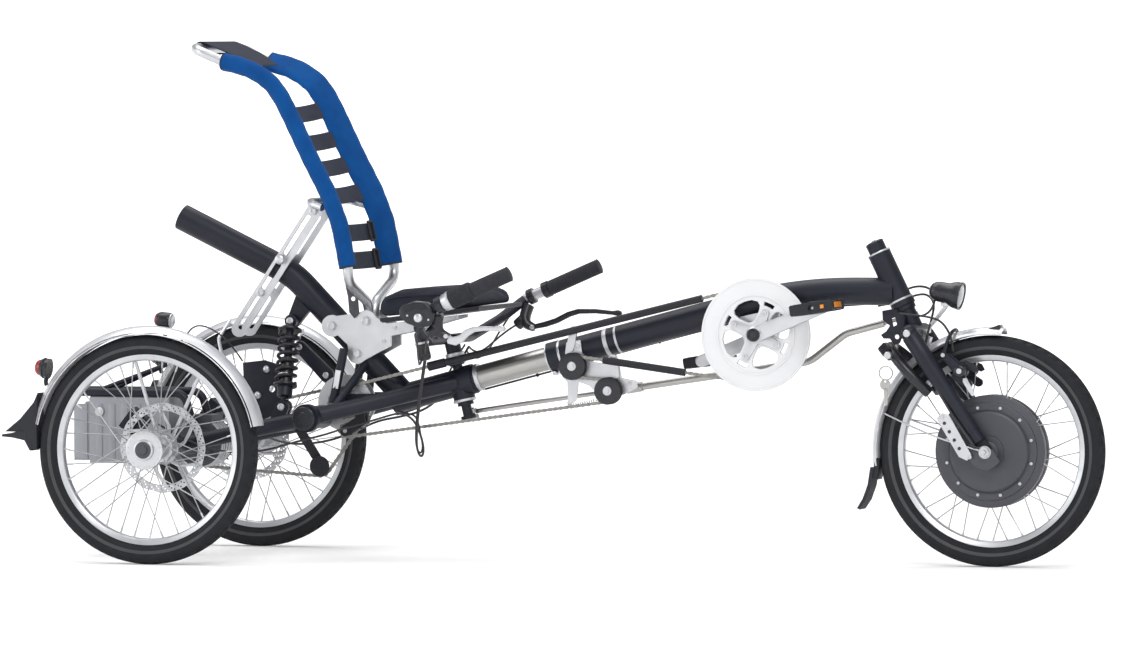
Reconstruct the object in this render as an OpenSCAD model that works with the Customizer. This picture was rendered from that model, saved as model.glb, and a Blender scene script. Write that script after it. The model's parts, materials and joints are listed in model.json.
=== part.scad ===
// Recumbent trike: one steered front wheel with a hub motor, two rear wheels, a telescopic boom,
// steering under the seat and a reclined seat.
// Millimetres, +X forwards, +Y to the rider's left, +Z up. Every x below is measured from the
// rear axle; place() then moves the whole trike so that its origin is under its middle.

/* [Wheels] */
// Distance between the front and the rear axle
wheelbase = 1800; // [1700:10:1900]
// Distance between the middles of the rear tyres
track = 740; // [700:10:800]
// Outer radius of every tyre
wheel_r = 250; // [250:1:252]
// Width of every tyre
tyre_w = 47; // [44:1:50]
// Radius of the rims where the tyres sit
rim_r = 209.5; // [207:0.5:211]
// Width of the rims
rim_w = 25; // [22:1:27]
// Radius of the brake discs
disc_r = 99; // [80:1:101]
// Radius of the hub motor
motor_r = 122; // [100:1:124]

/* [Frame] */
// Outer radius of the boom and of the socket that holds it
boom_r = 30; // [28:1:31]
// Radius of the sliding inner tube of the boom
inner_tube_r = 25.5; // [23:0.5:26.5]
// Rise of the boom, in degrees
boom_rise = 14.95; // [14.8:0.05:15.1]
// Outer radius of the backbone tube
backbone_r = 29; // [27:1:29]
// Half the width of the rear frame at its pivot tube
pivot_half_w = 200; // [190:5:205]

/* [Steering] */
// Lean of the steering axis from upright, in degrees
steer_lean = 26; // [25.5:0.5:26.5]
// Lean of the handlebar's pivot from upright, in degrees
bar_lean = 13; // [12.5:0.5:13.5]
// Length of the fork's steering arm
steer_arm = 40; // [38:1:41]
// Half the distance between the grips
grip_y = 330; // [320:5:335]

/* [Drive] */
// Radius of the chain on the chainring
chainring_r = 105; // [100:1:106]
// Radius of the chain guard disc
guard_r = 123; // [118:1:125]
// Length of a crank arm
crank_len = 170; // [165:2.5:172.5]
// Angle of the right crank arm above forwards, in degrees
crank_angle = 21.5; // [15:0.5:25]
// Sideways place of the main chain
chain_y = -48; // [-49:0.5:-47]

/* [Seat] */
// Half the distance between the tubes of the seat back
seat_half_w = 160; // [150:5:170]
// Radius of the seat back's tube
seat_tube_r = 11; // [10:0.5:12]
// Width of the seat cushion
cushion_w = 330; // [300:10:350]

/* [Hidden] */
$fn = 48;
eps = 0.5;
tail_overhang = 333;
rear_x = -(wheelbase + wheel_r - tail_overhang) / 2;

rear_y = track / 2;
tyre_r = tyre_w / 2;
tyre_ring = wheel_r - tyre_r;
rim_in = rim_r - 15.5;
front_axle = [wheelbase, 0, wheel_r];
rear_axle_mid = [0, 0, wheel_r];

// Running fit of a shaft in its bore
fit = 0.05;

// Boom line, through one point of its axis
boom_point = [635, 0, 399];
boom_dir = [cos(boom_rise), 0, sin(boom_rise)];
function on_boom(x) = boom_point + boom_dir * (x - boom_point[0]) / boom_dir[0];
boom_level_z = 593;
boom_knee = on_boom(boom_point[0] + (boom_level_z - boom_point[2]) / tan(boom_rise));
boom_bend_r = 1000;
boom_rear_x = 862;
socket_rear_x = 440;
socket_front_x = 632;
inner_rear_x = 617;

// Steering axis, through the top of the head tube
head_top = [1548, 0, 674];
steer_dir = [-sin(steer_lean), 0, cos(steer_lean)];
function on_steer(s) = head_top + steer_dir * s;
head_len = 125;
steer_eye_s = -149;

// Handlebar axis, through the middle of its housing under the frame
bar_pivot = [600, 0, 367];
bar_dir = [-sin(bar_lean), 0, cos(bar_lean)];
function on_bar(s) = bar_pivot + bar_dir * s;
bar_arm = steer_arm * cos(steer_lean) / cos(bar_lean);
bar_eye_s = -45;

crank_mid = [1285, 0, 499];
arm_dir = [cos(crank_angle), 0, sin(crank_angle)];
pedal_tilt = 9;
pedal_right = crank_mid + arm_dir * crank_len;
pedal_left = crank_mid - arm_dir * crank_len;

// Chain wheels: place in the side view, radius of the chain on them and turning sense,
// 1 where the chain turns left as it runs and -1 where it turns right
chain_wheels = [[[1285, 499], chainring_r, -1], [[867, 427], 23.5, 1], [[948, 374], 23.5, -1],
                [[345, 281], 14, -1], [[384, 306], 14, 1], [[338, 342], 32, -1]];
final_wheels = [[[338, 342], 40, -1], [[256, 198], 22, -1], [[0, 250], 56, -1]];
final_chain_y = 38;
hub_mid = [338, 0, 342];

// Seat back: side view of the tube's axis from the pivot up to the head end
seat_side = [[388, 642], [370, 736], [345, 801], [302, 882], [256, 976], [214, 1044],
             [163, 1077], [99, 1094]];
seat_top = [29, 1123];

// Sideways routes of the control cables, from the handlebar and the loom to the wheels
right_cable = [[565, -150, 461], [556, -130, 440], [545, -115, 400], [534, -105, 350], [526, -100, 290],
               [524, -98, 245], [534, -96, 225], [540, -92, 240], [530, -84, 275], [510, -76, 310],
               [480, -76, 324], [440, -88, 312], [400, -104, 299], [360, -120, 288], [320, -138, 274],
               [270, -158, 262], [200, -180, 240], [120, -205, 236], [40, -232, 262], [-20, -252, 300]];
left_cable = [[565, 150, 461], [550, 132, 430], [530, 118, 385], [505, 100, 340], [470, 92, 318],
              [420, 104, 306], [360, 124, 296], [300, 146, 270], [220, 172, 244], [120, 205, 236],
              [40, 232, 262], [-20, 252, 300]];
boom_cable = [[640, 34, 372], [760, 36, 404], [900, 36, 441], [1040, 36, 479], [1180, 37, 515],
              [1300, 38, 543], [1400, 38, 557], [1480, 40, 562], [1530, 48, 566]];
brake_line = [[1606, -48, 548], [1625, -50, 545], [1660, -47, 542], [1695, -44, 534], [1714, -43, 510],
              [1722, -43, 485], [1724, -44, 466]];

black = [0.08, 0.08, 0.1];
silver = [0.75, 0.76, 0.78];
rubber = [0.13, 0.13, 0.14];
blue = [0.05, 0.27, 0.62];
cloth = [0.2, 0.21, 0.24];

// ---------------------------------------------------------------- shared shapes

module place() translate([rear_x, 0, 0]) children();

// Same shape on both sides of the trike
module both_sides() {
    children();
    mirror([0, 1, 0]) children();
}

// Turns +Z onto the direction from a to b, at a
module along(a, b) {
    v = b - a;
    translate(a) rotate([0, acos(v[2] / norm(v)), atan2(v[1], v[0])]) children();
}

// Round bar from a to b
module bar(a, b, r) along(a, b) cylinder(h = norm(b - a), r = r);

// Round bar along the sideways direction, centred on p
module cross_bar(p, r, w) translate(p) rotate([90, 0, 0]) cylinder(h = w, r = r, center = true);

// Moves to a point of a leaning axis and turns +Z onto it; +Y stays sideways
module leaning(p, angle) translate(p) rotate([0, -angle, 0]) children();

// Ring along the sideways direction, centred on p
module cross_ring(p, r_out, r_in, w) difference() {
    cross_bar(p, r_out, w);
    cross_bar(p, r_in, w + 2 * eps);
}

function unit(v) = v / norm(v);
function turn(p, i) = acos(unit(p[i] - p[i - 1]) * unit(p[i + 1] - p[i]));
function setback(p, i, bend) = (i == 0 || i == len(p) - 1) ? 0 : bend * tan(turn(p, i) / 2);

// Round tube through the points, with a true arc at every corner. The arcs are a hair thinner
// than the straight lengths, as a drawn bend is
module pipe(p, r, bend) {
    for (i = [0 : len(p) - 2]) {
        d = unit(p[i + 1] - p[i]);
        bar(p[i] + d * setback(p, i, bend), p[i + 1] - d * setback(p, i + 1, bend), r);
    }
    for (i = [1 : len(p) - 2]) {
        d = unit(p[i] - p[i - 1]);
        e = unit(p[i + 1] - p[i]);
        n = unit(e - d * (e * d));
        z = cross(-n, d);
        c = p[i] - d * setback(p, i, bend) + n * bend;
        multmatrix([[-n[0], d[0], z[0], c[0]], [-n[1], d[1], z[1], c[1]], [-n[2], d[2], z[2], c[2]],
                    [0, 0, 0, 1]])
            rotate_extrude(angle = turn(p, i)) translate([bend, 0]) circle(r = r - 0.06);
    }
}

// Draws in the side view, x forwards and y up, and gives the drawing a thickness around y0
module side_plate(y0, t) translate([0, y0 + t / 2, 0]) rotate([90, 0, 0]) linear_extrude(t) children();

// Rounded flat link between two points of the side view
module link2d(a, b, ra, rb) {
    translate(a) circle(r = ra);
    translate(b) circle(r = rb);
    d = unit(b - a);
    n = [-d[1], d[0]];
    polygon([a + n * ra, b + n * rb, b - n * rb, a - n * ra]);
}

// Smooth curve through the points, n steps between each two
function smooth(p, n) = [for (i = [0 : len(p) - 2], k = [0 : n - 1])
    let (t = k / n, a = p[max(i - 1, 0)], b = p[i], c = p[i + 1], d = p[min(i + 2, len(p) - 1)])
    0.5 * (2 * b + (c - a) * t + (2 * a - 5 * b + 4 * c - d) * t * t
           + (3 * b - a - 3 * c + d) * t * t * t), p[len(p) - 1]];

function heading(p, i) = unit(p[min(i + 1, len(p) - 1)] - p[max(i - 1, 0)]);

// Closed skin over rings of points, ring by ring
module skin(rings) {
    n = len(rings[0]);
    m = len(rings);
    polyhedron(points = [for (ring = rings, q = ring) q],
               faces = [[for (k = [0 : n - 1]) k],
                        for (i = [0 : m - 2], k = [0 : n - 1])
                            [i * n + k, (i + 1) * n + k, (i + 1) * n + (k + 1) % n, i * n + (k + 1) % n],
                        [for (k = [n - 1 : -1 : 0]) (m - 1) * n + k]]);
}

// Cable of radius r through the points
module cable(points, r, steps, sides = 8) {
    p = smooth(points, steps);
    ref = [0.21, 0.35, 0.91];
    skin([for (i = [0 : len(p) - 1])
        let (t = heading(p, i), u = unit(cross(t, ref)), v = cross(t, u))
        [for (k = [0 : sides - 1]) p[i] + r * (cos(360 * k / sides) * u + sin(360 * k / sides) * v)]]);
}

// ---------------------------------------------------------------- chain

function flat_angle(v) = atan2(v[1], v[0]);
function rot90(v) = [-v[1], v[0]];
function ray(a) = [cos(a), sin(a)];

// Direction of the straight run from wheel a to wheel b
function run_angle(a, b) =
    flat_angle(b[0] - a[0]) - asin((b[2] * b[1] - a[2] * a[1]) / norm(b[0] - a[0]));
function leave(a, b) = a[0] - rot90(ray(run_angle(a, b))) * a[2] * a[1];
function meet(a, b) = b[0] - rot90(ray(run_angle(a, b))) * b[2] * b[1];
function wrap(from, to, sense) = let (d = (to - from) * sense) (d - 360 * floor(d / 360)) * sense;

// Edge of the chain at a distance off to its left, as points round every wheel
function chain_edge(wheels, off) = [for (i = [0 : len(wheels) - 1])
    let (n = len(wheels), a = wheels[i], before = run_angle(wheels[(i + n - 1) % n], a),
         sweep = wrap(before, run_angle(a, wheels[(i + 1) % n]), a[2]), m = ceil(abs(sweep) / 12))
    for (k = [0 : m]) a[0] + ray(before - 90 * a[2] + sweep * k / m) * (a[1] - off * a[2])];

// Chain as a plain band, h high and w wide, round the wheels and along its straight runs
module chain_band(wheels, y0, h, w) side_plate(y0, w) difference() {
    polygon(chain_edge(wheels, h / 2));
    polygon(chain_edge(wheels, -h / 2));
}

// ---------------------------------------------------------------- frame

side_tube_front = [590, -16, 387];
side_tube_rear = [297, -146, 314];
pivot_mid = [297, 0, 313];
backbone_top = [-53, 0, 749];
backbone_knee = [209, 0, 622];
backbone_foot = [467, 0, 354];

module backbone_shape(r) pipe([backbone_top, backbone_knee, backbone_foot], r, 200);

module main_frame() color(black) place() difference() {
    union() {
        backbone_shape(backbone_r);
        bar(on_boom(socket_rear_x), on_boom(socket_front_x), boom_r);
        along(on_boom(socket_front_x - 26), on_boom(socket_front_x)) cylinder(h = 22, r = boom_r + 3);
        both_sides() {
            bar(side_tube_front, side_tube_rear, 18);
            bar([332, -132, 316], [385, -20, 432], 9);
        }
        // Housing of the handlebar's pivot, and the lug that carries the damper
        bar(on_bar(-22), on_bar(34), 24);
        side_plate(0, 14) link2d([244, 580], [209, 521], 26, 15);
        // Plates of the gear hub on their cross tube
        for (y = [-58, 48]) side_plate(y, 5) link2d([hub_mid[0], hub_mid[2]], [446, 350], 20, 14);
        cross_bar([446, -5, 350], 9, 106);
    }
    bar(on_boom(inner_rear_x), on_boom(socket_front_x + 5), inner_tube_r);
    bar(on_bar(-40), on_bar(70), 11 + fit);
    cross_bar(pivot_mid, 25, 2 * pivot_half_w);
    cross_bar([209, 0, 521], 6, 20);
    cross_bar(hub_mid, 8, 160);
}

// Pivot stubs, one on each side, with room for the gear hub between them
module pivot_tube() color(black) place() both_sides()
    cross_bar(pivot_mid - [0, (pivot_half_w + 70) / 2, 0], 25, pivot_half_w - 70);

module swing_arm() color(black) place() difference() {
    union() {
        for (y = [-176, 176]) {
            bar([297, y, 313], [0, y, wheel_r], 17);
            cross_bar([297, y, 313], 31, 20);
        }
        cross_bar([196, 0, 292], 15, 352);
        side_plate(-92, 10) link2d([212, 334], [196, 292], 15, 16);
        side_plate(-72, 10) link2d([212, 334], [196, 292], 15, 16);
    }
    cross_bar(pivot_mid, 25, 2 * pivot_half_w + 2);
    cross_bar(rear_axle_mid, 22, 600);
    cross_bar([212, -82, 334], 6, 60);
}

module rear_axle() color(black) place() {
    cross_bar(rear_axle_mid, 22, 536);
    cross_bar(rear_axle_mid, 10, 2 * rear_y + 50);
}

module shock_absorber() color(black) place() {
    difference() {
        union() {
            bar([209, -24, 521], [212, -79, 353], 9);
            cross_bar([209, -17, 521], 14, 18);
            cross_bar([212, -82, 334], 14, 9);
            bar([212, -82, 340], [212, -82, 356], 4.4);
            bar([211.5, -70.5, 379], [212, -78.5, 356], 17);
        }
        cross_bar([209, -17, 521], 6, 40);
        cross_bar([212, -82, 334], 6, 40);
    }
    cross_bar([209, -6, 521], 6, 44);
    cross_bar([212, -82, 334], 6, 34);
}

// Coil spring, drawn as the sleeve that its turns fill
module shock_spring() color(rubber) place() difference() {
    bar([209.4, -31, 499], [211.4, -69.8, 382], 26);
    bar([209, -24, 521], [212, -79, 353], 9.1);
}

module inner_tube() color(silver) place()
    bar(on_boom(inner_rear_x), on_boom(boom_rear_x + 70), inner_tube_r);

module boom_clamp() color(black) place() difference() {
    union() {
        bar(on_boom(802), on_boom(826), boom_r + 3);
        bar(on_boom(832), on_boom(boom_rear_x), boom_r + 2);
        bar(on_boom(822), on_boom(836), boom_r);
    }
    bar(on_boom(790), on_boom(870), inner_tube_r);
}

module front_boom() color(black) place() difference() {
    pipe([on_boom(boom_rear_x), boom_knee, [head_top[0] + 36, 0, boom_level_z]], boom_r, boom_bend_r);
    bar(on_boom(boom_rear_x - 10), on_boom(boom_rear_x + 70), inner_tube_r);
    bar(on_steer(-160), on_steer(20), 25);
}

module head_tube() color(black) place() difference() {
    union() {
        bar(on_steer(-head_len), on_steer(0), 25);
        bar(on_steer(-head_len), on_steer(-head_len + 12), 27);
    }
    bar(on_steer(-head_len - 5), on_steer(5), 15 + fit);
}

module bottom_bracket() color(silver) place() difference() {
    union() {
        cross_bar(crank_mid, 22, 68);
        for (y = [-22, 22]) side_plate(y, 6)
            polygon([[1268, 500], [1302, 500], [1330, 540], [1330, 556], [1240, 536.5], [1246, 524]]);
    }
    cross_bar(crank_mid, 12 + fit, 100);
}

// ---------------------------------------------------------------- drive

idler_a = [867, chain_y, 427];
idler_b = [948, chain_y, 374];

module idler_bracket() color(silver) place() difference() {
    union() {
        side_plate(-31.5, 5) polygon([[848, 478], [880, 484], [884, 456], [900, 438], [969, 428], [974, 402],
            [1008, 396], [1010, 382], [980, 366], [930, 356], [900, 384], [876, 392], [870, 352], [852, 337],
            [850, 392], [838, 404], [844, 440]]);
        cross_bar(idler_a, 5, 27);
        cross_bar(idler_b, 5, 27);
        // Clips that hold the two chain tubes
        side_plate(-36.8, 5.6) link2d([858, 466], [866, 505], 8, 9);
        side_plate(-36.8, 5.6) link2d([962, 408], [957, 444], 8, 9);
    }
    bar(on_boom(boom_rear_x - 60), on_boom(boom_rear_x + 200), boom_r + 3.2);
    bar([538, chain_y, 425], [1162, chain_y, 578], 8);
    bar([937, chain_y, 448], [1123, chain_y, 421], 8);
}

module idlers() color(rubber) place() for (p = [idler_a, idler_b]) difference() {
    union() {
        cross_bar(p, 19, 16);
        for (y = [-6.5, 6.5]) cross_bar(p + [0, y, 0], 30, 3);
    }
    cross_bar(p, 5, 30);
}

upper_from = leave(chain_wheels[5], chain_wheels[0]);
upper_to = meet(chain_wheels[5], chain_wheels[0]);
upper_dir = unit(upper_to - upper_from);
lower_from = leave(chain_wheels[0], chain_wheels[1]);
lower_to = meet(chain_wheels[0], chain_wheels[1]);
lower_dir = unit(lower_to - lower_from);
function on_upper(x) = let (p = upper_from + upper_dir * (x - upper_from[0]) / upper_dir[0])
    [p[0], chain_y, p[1]];
function on_lower(x) = let (p = lower_from + lower_dir * (x - lower_from[0]) / lower_dir[0])
    [p[0], chain_y, p[1]];

module chain_tubes() color(black) place() difference() {
    union() {
        bar(on_upper(538), on_upper(1162), 8);
        bar(on_upper(536), on_upper(574), 10);
        bar(on_lower(937), on_lower(1123), 8);
    }
    bar(on_upper(500), on_upper(1200), 6);
    bar(on_lower(900), on_lower(1160), 6);
}

module drive_chain() color(silver) place() chain_band(chain_wheels, chain_y, 8, 7);

module final_chain() color(silver) place() chain_band(final_wheels, final_chain_y, 8, 7);

module gear_hub() color(silver) place() difference() {
    union() {
        cross_bar([338, -16, 342], 34, 56);
        cross_bar([338, -34, 342], 62, 4);
        cross_bar([338, 14, 342], 56, 4);
        cross_bar([338, chain_y, 342], 27, 9);
        cross_bar([338, final_chain_y, 342], 35, 7);
        cross_bar([338, 20, 342], 22, 40);
        cross_bar(hub_mid, 8, 136);
    }
    // Room for the chain where it crosses the big disc
    cross_ring([338, chain_y, 342], 70, 27.5, 9);
}

tension_low = [345, chain_y, 281];
tension_high = [384, chain_y, 306];
final_tension = [256, final_chain_y, 198];

// Chain tensioners of both chains
module derailleur() color(black) place() {
    for (p = [tension_low, tension_high]) difference() {
        cross_bar(p, 9.5, 6);
        cross_bar(p, 3, 40);
    }
    for (y = [-6.5, 6.5]) side_plate(chain_y + y, 2) link2d([345, 281], [384, 306], 12, 12);
    cross_bar(tension_low, 3, 11);
    cross_bar(tension_high - [0, 7, 0], 3, 25);
    side_plate(-64, 6) link2d([384, 306], [380, 334], 11, 11);
    difference() {
        cross_bar(final_tension, 17, 10);
        cross_bar(final_tension, 5, 20);
    }
    cross_bar(final_tension + [0, 3, 0], 5, 16);
    difference() {
        side_plate(47, 5) link2d([256, 198], [204, 278], 10, 10);
        cross_bar([196, 0, 292], 15, 352);
        cross_bar(final_tension, 5, 20);
    }
}

module differential() color(silver) place() difference() {
    union() {
        cross_bar([0, -8, wheel_r], 52, 76);
        cross_bar([0, -8, wheel_r], 34, 112);
        cross_bar([0, final_chain_y, wheel_r], 51, 7);
        translate([-30, -44, wheel_r]) cube([60, 74, 62]);
    }
    cross_bar(rear_axle_mid, 22, 300);
}

module battery() color(silver) place() difference() {
    union() {
        translate([-250, -62, 204]) cube([186, 124, 146]);
        translate([-290, -58, 210]) cube([40, 116, 130]);
    }
    translate([-292, -70, 196]) rotate([0, 12, 0]) translate([-30, 0, -20]) cube([30, 140, 180]);
}

module battery_carrier() color(black) place() {
    difference() {
        for (y = [-56, 56]) pipe([[-300, y, 361], [-30, y, 361], [0, y, wheel_r + 12]], 9, 30);
        cross_bar(rear_axle_mid, 22, 600);
        cross_bar([0, -8, wheel_r], 34, 112);
    }
    cross_bar([-290, 0, 361], 8, 102);
    // Post of the lamp
    both_sides() bar([-230, -47, 366], [-94, 0, 420], 5);
    bar([-94, 0, 418], [-94, 0, 501], 5);
}

module disc_calipers() color(black) place() both_sides() difference() {
    translate([0, -272, wheel_r]) rotate([0, -142, 0]) translate([66, 0, -24]) cube([46, 30, 52]);
    cross_bar([0, -280, wheel_r], disc_r + 3, 5);
    cross_bar([0, -280, wheel_r], 52, 60);
}

// ---------------------------------------------------------------- seat

module seat_bracket() color(silver) place() {
        for (y = [-36, 36]) side_plate(y, 8) {
            translate([310, 511]) circle(r = 24);
            translate([389, 522]) circle(r = 24);
            translate([368, 450]) circle(r = 22);
            polygon([[300, 530], [392, 543], [412, 530], [436, 517], [486, 523], [600, 537], [600, 530],
                     [486, 498], [446, 490],
                     [446, 468], [380, 433], [352, 438], [346, 470], [322, 492]]);
        }
        both_sides() for (p = [[310, -43, 511], [389, -43, 522], [368, -43, 450]]) cross_bar(p, 10, 7);
}

module seat_struts() color(silver) place() difference() {
    union() {
        for (y = [-34, 34]) side_plate(y, 6) link2d([92, 502], [272, 770], 17, 17);
        both_sides() for (p = [[193, -39, 657], [144, -39, 584], [268, -39, 764]]) cross_bar(p, 9, 6);
        cross_bar([276, 0, 770], 6, 62);
    }
    for (y = [-34, 34]) {
        side_plate(y, 8) link2d([96, 508], [136, 568], 7, 7);
        side_plate(y, 8) link2d([152, 596], [184, 644], 7, 7);
        side_plate(y, 8) link2d([203, 672], [254, 748], 7, 7);
    }
    cross_bar([290, 0, 785], 9, 100);
}

// Adds the mirror image of a route that starts on the right, so that it ends on the left
function both_ways(p) = concat(p, [for (i = [len(p) - 1 : -1 : 0]) [p[i][0], -p[i][1], p[i][2]]]);

seat_lift = [for (q = seat_side) [q[0], -seat_half_w, q[1]]];
seat_route = concat([[389, -19, 522], [389, -19, 560], [389, -seat_half_w, 612]], seat_lift,
                    [[seat_top[0], -seat_half_w, seat_top[1]]]);

module seat_frame() color(silver) place() {
    pipe(both_ways(seat_route), seat_tube_r, 34);
    cross_bar([389, 0, 522], 13, 62);
    // Brace that bows back behind the straps
    pipe(both_ways([[327, -150, 774], [290, -138, 785]]), 9, 30);
}

// Padded sleeve round one tube: an oval section with a passage for the tube, laid along its route.
// In the section the first axis is sideways towards the middle and the second is forwards
sleeve_turn = 20;
sleeve_out = [for (a = [0 : 30 : 330]) [(cos(a) > 0.01 ? 40 : 0) + 17 * cos(a), 16 * sin(a)]];
sleeve_in = [for (a = [15 : 30 : 345]) 12.6 * ray(a)];

function sleeve_ring(q, i, section) = let (t = heading(q, i), u = [0, 1, 0], n = unit(cross(u, t)))
    [for (s = section) q[i] + (s[0] * cos(sleeve_turn) + s[1] * sin(sleeve_turn)) * u
        + (s[1] * cos(sleeve_turn) - s[0] * sin(sleeve_turn)) * n];

module sleeve_shape() {
    q = seat_lift;
    m = len(q);
    k = len(sleeve_out);
    // Points: all the outer rings, then all the rings of the passage
    polyhedron(points = concat([for (i = [0 : m - 1]) each sleeve_ring(q, i, sleeve_out)],
                               [for (i = [0 : m - 1]) each sleeve_ring(q, i, sleeve_in)]),
        faces = [for (i = [0 : m - 2], j = [0 : k - 1]) each let (jn = (j + 1) % k, o = m * k)
                     [[i * k + j, i * k + jn, (i + 1) * k + jn, (i + 1) * k + j],
                      [o + i * k + j, o + (i + 1) * k + j, o + (i + 1) * k + jn, o + i * k + jn]],
                 for (j = [0 : k - 1]) each let (jn = (j + 1) % k, o = m * k, e = (m - 1) * k)
                     [[jn, j, o + j, o + jn], [e + j, e + jn, o + e + jn, o + e + j]]]);
}

module right_sleeve() color(blue) place() sleeve_shape();
module left_sleeve() color(blue) place() mirror([0, 1, 0]) sleeve_shape();

// Straps across the seat back: heights of their middles, and their lean
strap_z = [660, 719, 812, 872, 926, 990];
function seat_at(z) = let (i = [for (k = [0 : len(seat_side) - 2]) if (seat_side[k + 1][1] >= z) k][0],
    a = seat_side[i], b = seat_side[i + 1], t = (z - a[1]) / (b[1] - a[1])) [a + (b - a) * t, flat_angle(b - a)];

module seat_straps() color(cloth) place() for (z = strap_z) let (p = seat_at(z))
    translate([p[0][0] - 14, 0, p[0][1]]) rotate([0, 90 - p[1], 0]) cube([3, 200, 38], center = true);

// Cloth between the sleeves at the head end, over the top bar
module headrest() color(cloth) place() side_plate(0, 200)
    polygon([[27, 1137.4], [34, 1138], [110, 1106], [136, 1088],
             [134, 1084], [108, 1102], [34, 1134.6], [27, 1134.4]]);

module seat_pan() color(black) place() {
    side_plate(0, cushion_w - 20)
        polygon([[460, 526], [466, 522.6], [686, 550.9], [688, 559.8], [680, 559.8], [460, 532.3]]);
}

module seat_cushion() color(rubber) place() {
    side_plate(0, cushion_w)
        polygon([[452, 540], [470, 535], [662, 559], [666, 571], [657, 588], [630, 596], [560, 594],
        [494, 590], [466, 582], [453, 564]]);
}

// ---------------------------------------------------------------- wheels

module tyre_section() difference() {
    intersection() {
        circle(r = tyre_r);
        polygon([[-rim_w / 2, rim_r - tyre_ring], [rim_w / 2, rim_r - tyre_ring], [tyre_r + 1, -4],
                 [tyre_r + 1, tyre_r + 1], [-tyre_r - 1, tyre_r + 1], [-tyre_r - 1, -4]]);
    }
    translate([0, 1]) circle(r = tyre_r - 4.5);
}

module tyre_at(p) color(rubber) place() translate(p) rotate([90, 0, 0])
    rotate_extrude($fn = 96) translate([tyre_ring, 0]) rotate(-90) tyre_section();

module rim_at(p) color(silver) place() translate(p) rotate([90, 0, 0]) rotate_extrude($fn = 96) difference() {
    translate([rim_in, -rim_w / 2]) square([rim_r - rim_in, rim_w]);
    translate([rim_r - 6, -rim_w / 2 + 3]) square([7, rim_w - 6]);
    translate([rim_in - 1, -rim_w / 2 - 1]) rotate(0) square([3, 5]);
    translate([rim_in - 1, rim_w / 2 - 4]) square([3, 5]);
}

module rear_hub_shape() color(silver) place() translate([0, -rear_y, wheel_r]) difference() {
    union() {
        cross_bar([0, 18, 0], 19, 86);
        cross_bar([0, -28, 0], 43, 6);
        cross_bar([0, -33, 0], 23, 8);
        cross_bar([0, 62, 0], 33, 5);
        // Brake disc on its carrier
        difference() {
            cross_bar([0, 90, 0], disc_r, 2.2);
            cross_bar([0, 90, 0], disc_r - 17, 10);
        }
        difference() {
            cross_bar([0, 90, 0], 36, 2.2);
            cross_bar([0, 90, 0], 20, 10);
        }
        for (a = [0 : 60 : 300]) translate([0, 90, 0]) rotate([0, a, 0]) translate([58, 0, 0])
            cube([50, 2.2, 9], center = true);
        cross_bar([0, 76, 0], 24, 32);
    }
    cross_bar([0, 30, 0], 10 + fit, 200);
}

module hub_motor() color([0.35, 0.36, 0.4]) place() translate(front_axle) difference() {
    union() {
        cross_bar([0, 0, 0], motor_r, 48);
        cross_bar([0, 0, 0], 106, 56);
        cross_bar([0, 0, 0], 88, 76);
        cross_bar([0, 0, 0], 22, 84);
    }
    cross_bar([0, 0, 0], 7 + fit, 100);
}

// ---------------------------------------------------------------- fork and its load

crown_mid = on_steer(-188);
fork_tip = [wheelbase - 14, -59, wheel_r + 22];

module fork() color(black) place() {
    difference() {
        union() {
            bar(on_steer(4), on_steer(26), 20);
            bar(on_steer(-178), on_steer(20), 15);
            bar(on_steer(-head_len - 10), on_steer(-head_len - 0.8), 24);
            bar(on_steer(-178), on_steer(-132), 20);
            cross_bar(crown_mid, 19, 2 * 59);
            both_sides() {
                bar([crown_mid[0], -59, crown_mid[2]], fork_tip, 16);
                translate([crown_mid[0], -59, crown_mid[2]]) sphere(r = 19);
                side_plate(-54, 8) link2d([fork_tip[0], fork_tip[2]], [wheelbase, wheel_r], 14, 15);
            }
            // Steering arm with the pin of the rod
            leaning(on_steer(steer_eye_s + 15), steer_lean) linear_extrude(7)
                link2d([0, 0], [0, steer_arm], 21, 11);
            translate([0, steer_arm, 0]) bar(on_steer(steer_eye_s - 12), on_steer(steer_eye_s + 16), 4);
            translate([0, steer_arm, 0]) bar(on_steer(steer_eye_s - 15), on_steer(steer_eye_s - 11), 9);
        }
        // Room for the tyre
        cross_bar(front_axle, wheel_r + 8, 74);
    }
    cross_bar(front_axle, 7, 132);
    for (y = [-62, 62]) cross_bar(front_axle + [0, y, 0], 12, 8);
}

module fender_section(w, r, t) difference() {
    intersection() {
        circle(r = r);
        translate([r - 14, -w / 2]) square([15, w]);
    }
    circle(r = r - t);
}

// Curved mudguard round a wheel, from one angle above forwards to another
module fender_arc(p, radius, w, from, to) translate(p) rotate([90, 0, 0]) rotate(from)
    rotate_extrude(angle = to - from, $fn = 96) translate([radius - 34, 0]) fender_section(w, 34, 2);

// Hose of the rim brake, from the crown to the brake
module fork_cables() color(rubber) place() cable(brake_line, 3, 4);

module front_fender() color(silver) place() {
    fender_arc(front_axle, 268, 56, 84, 187.6);
    difference() {
        side_plate(0, 22) polygon([[1658, 474], [1664, 494], [1648, 500], [1640, 486]]);
        cross_bar(front_axle, 267, 60);
        cross_bar(crown_mid, 19, 60);
    }
}

module front_mudflap() color(rubber) place() side_plate(0, 50)
    polygon([[1541, 212], [1533, 213], [1527, 175], [1516, 145], [1503, 124], [1509, 121], [1523, 142], [1534, 172]]);

module headlight() color(rubber) place() {
    difference() {
        along([1668, 0, 596], [1728, 0, 584]) {
            cylinder(h = 40, r = 22);
            translate([0, 0, 40]) cylinder(h = 22, r = 29);
        }
        along([1668, 0, 596], [1728, 0, 584]) translate([0, 0, 59]) cylinder(h = 6, r = 25);
    }
    side_plate(0, 8) polygon([[1700, 566], [1708, 566], [1672, 512], [1650, 506], [1648, 512], [1668, 520]]);
}

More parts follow.
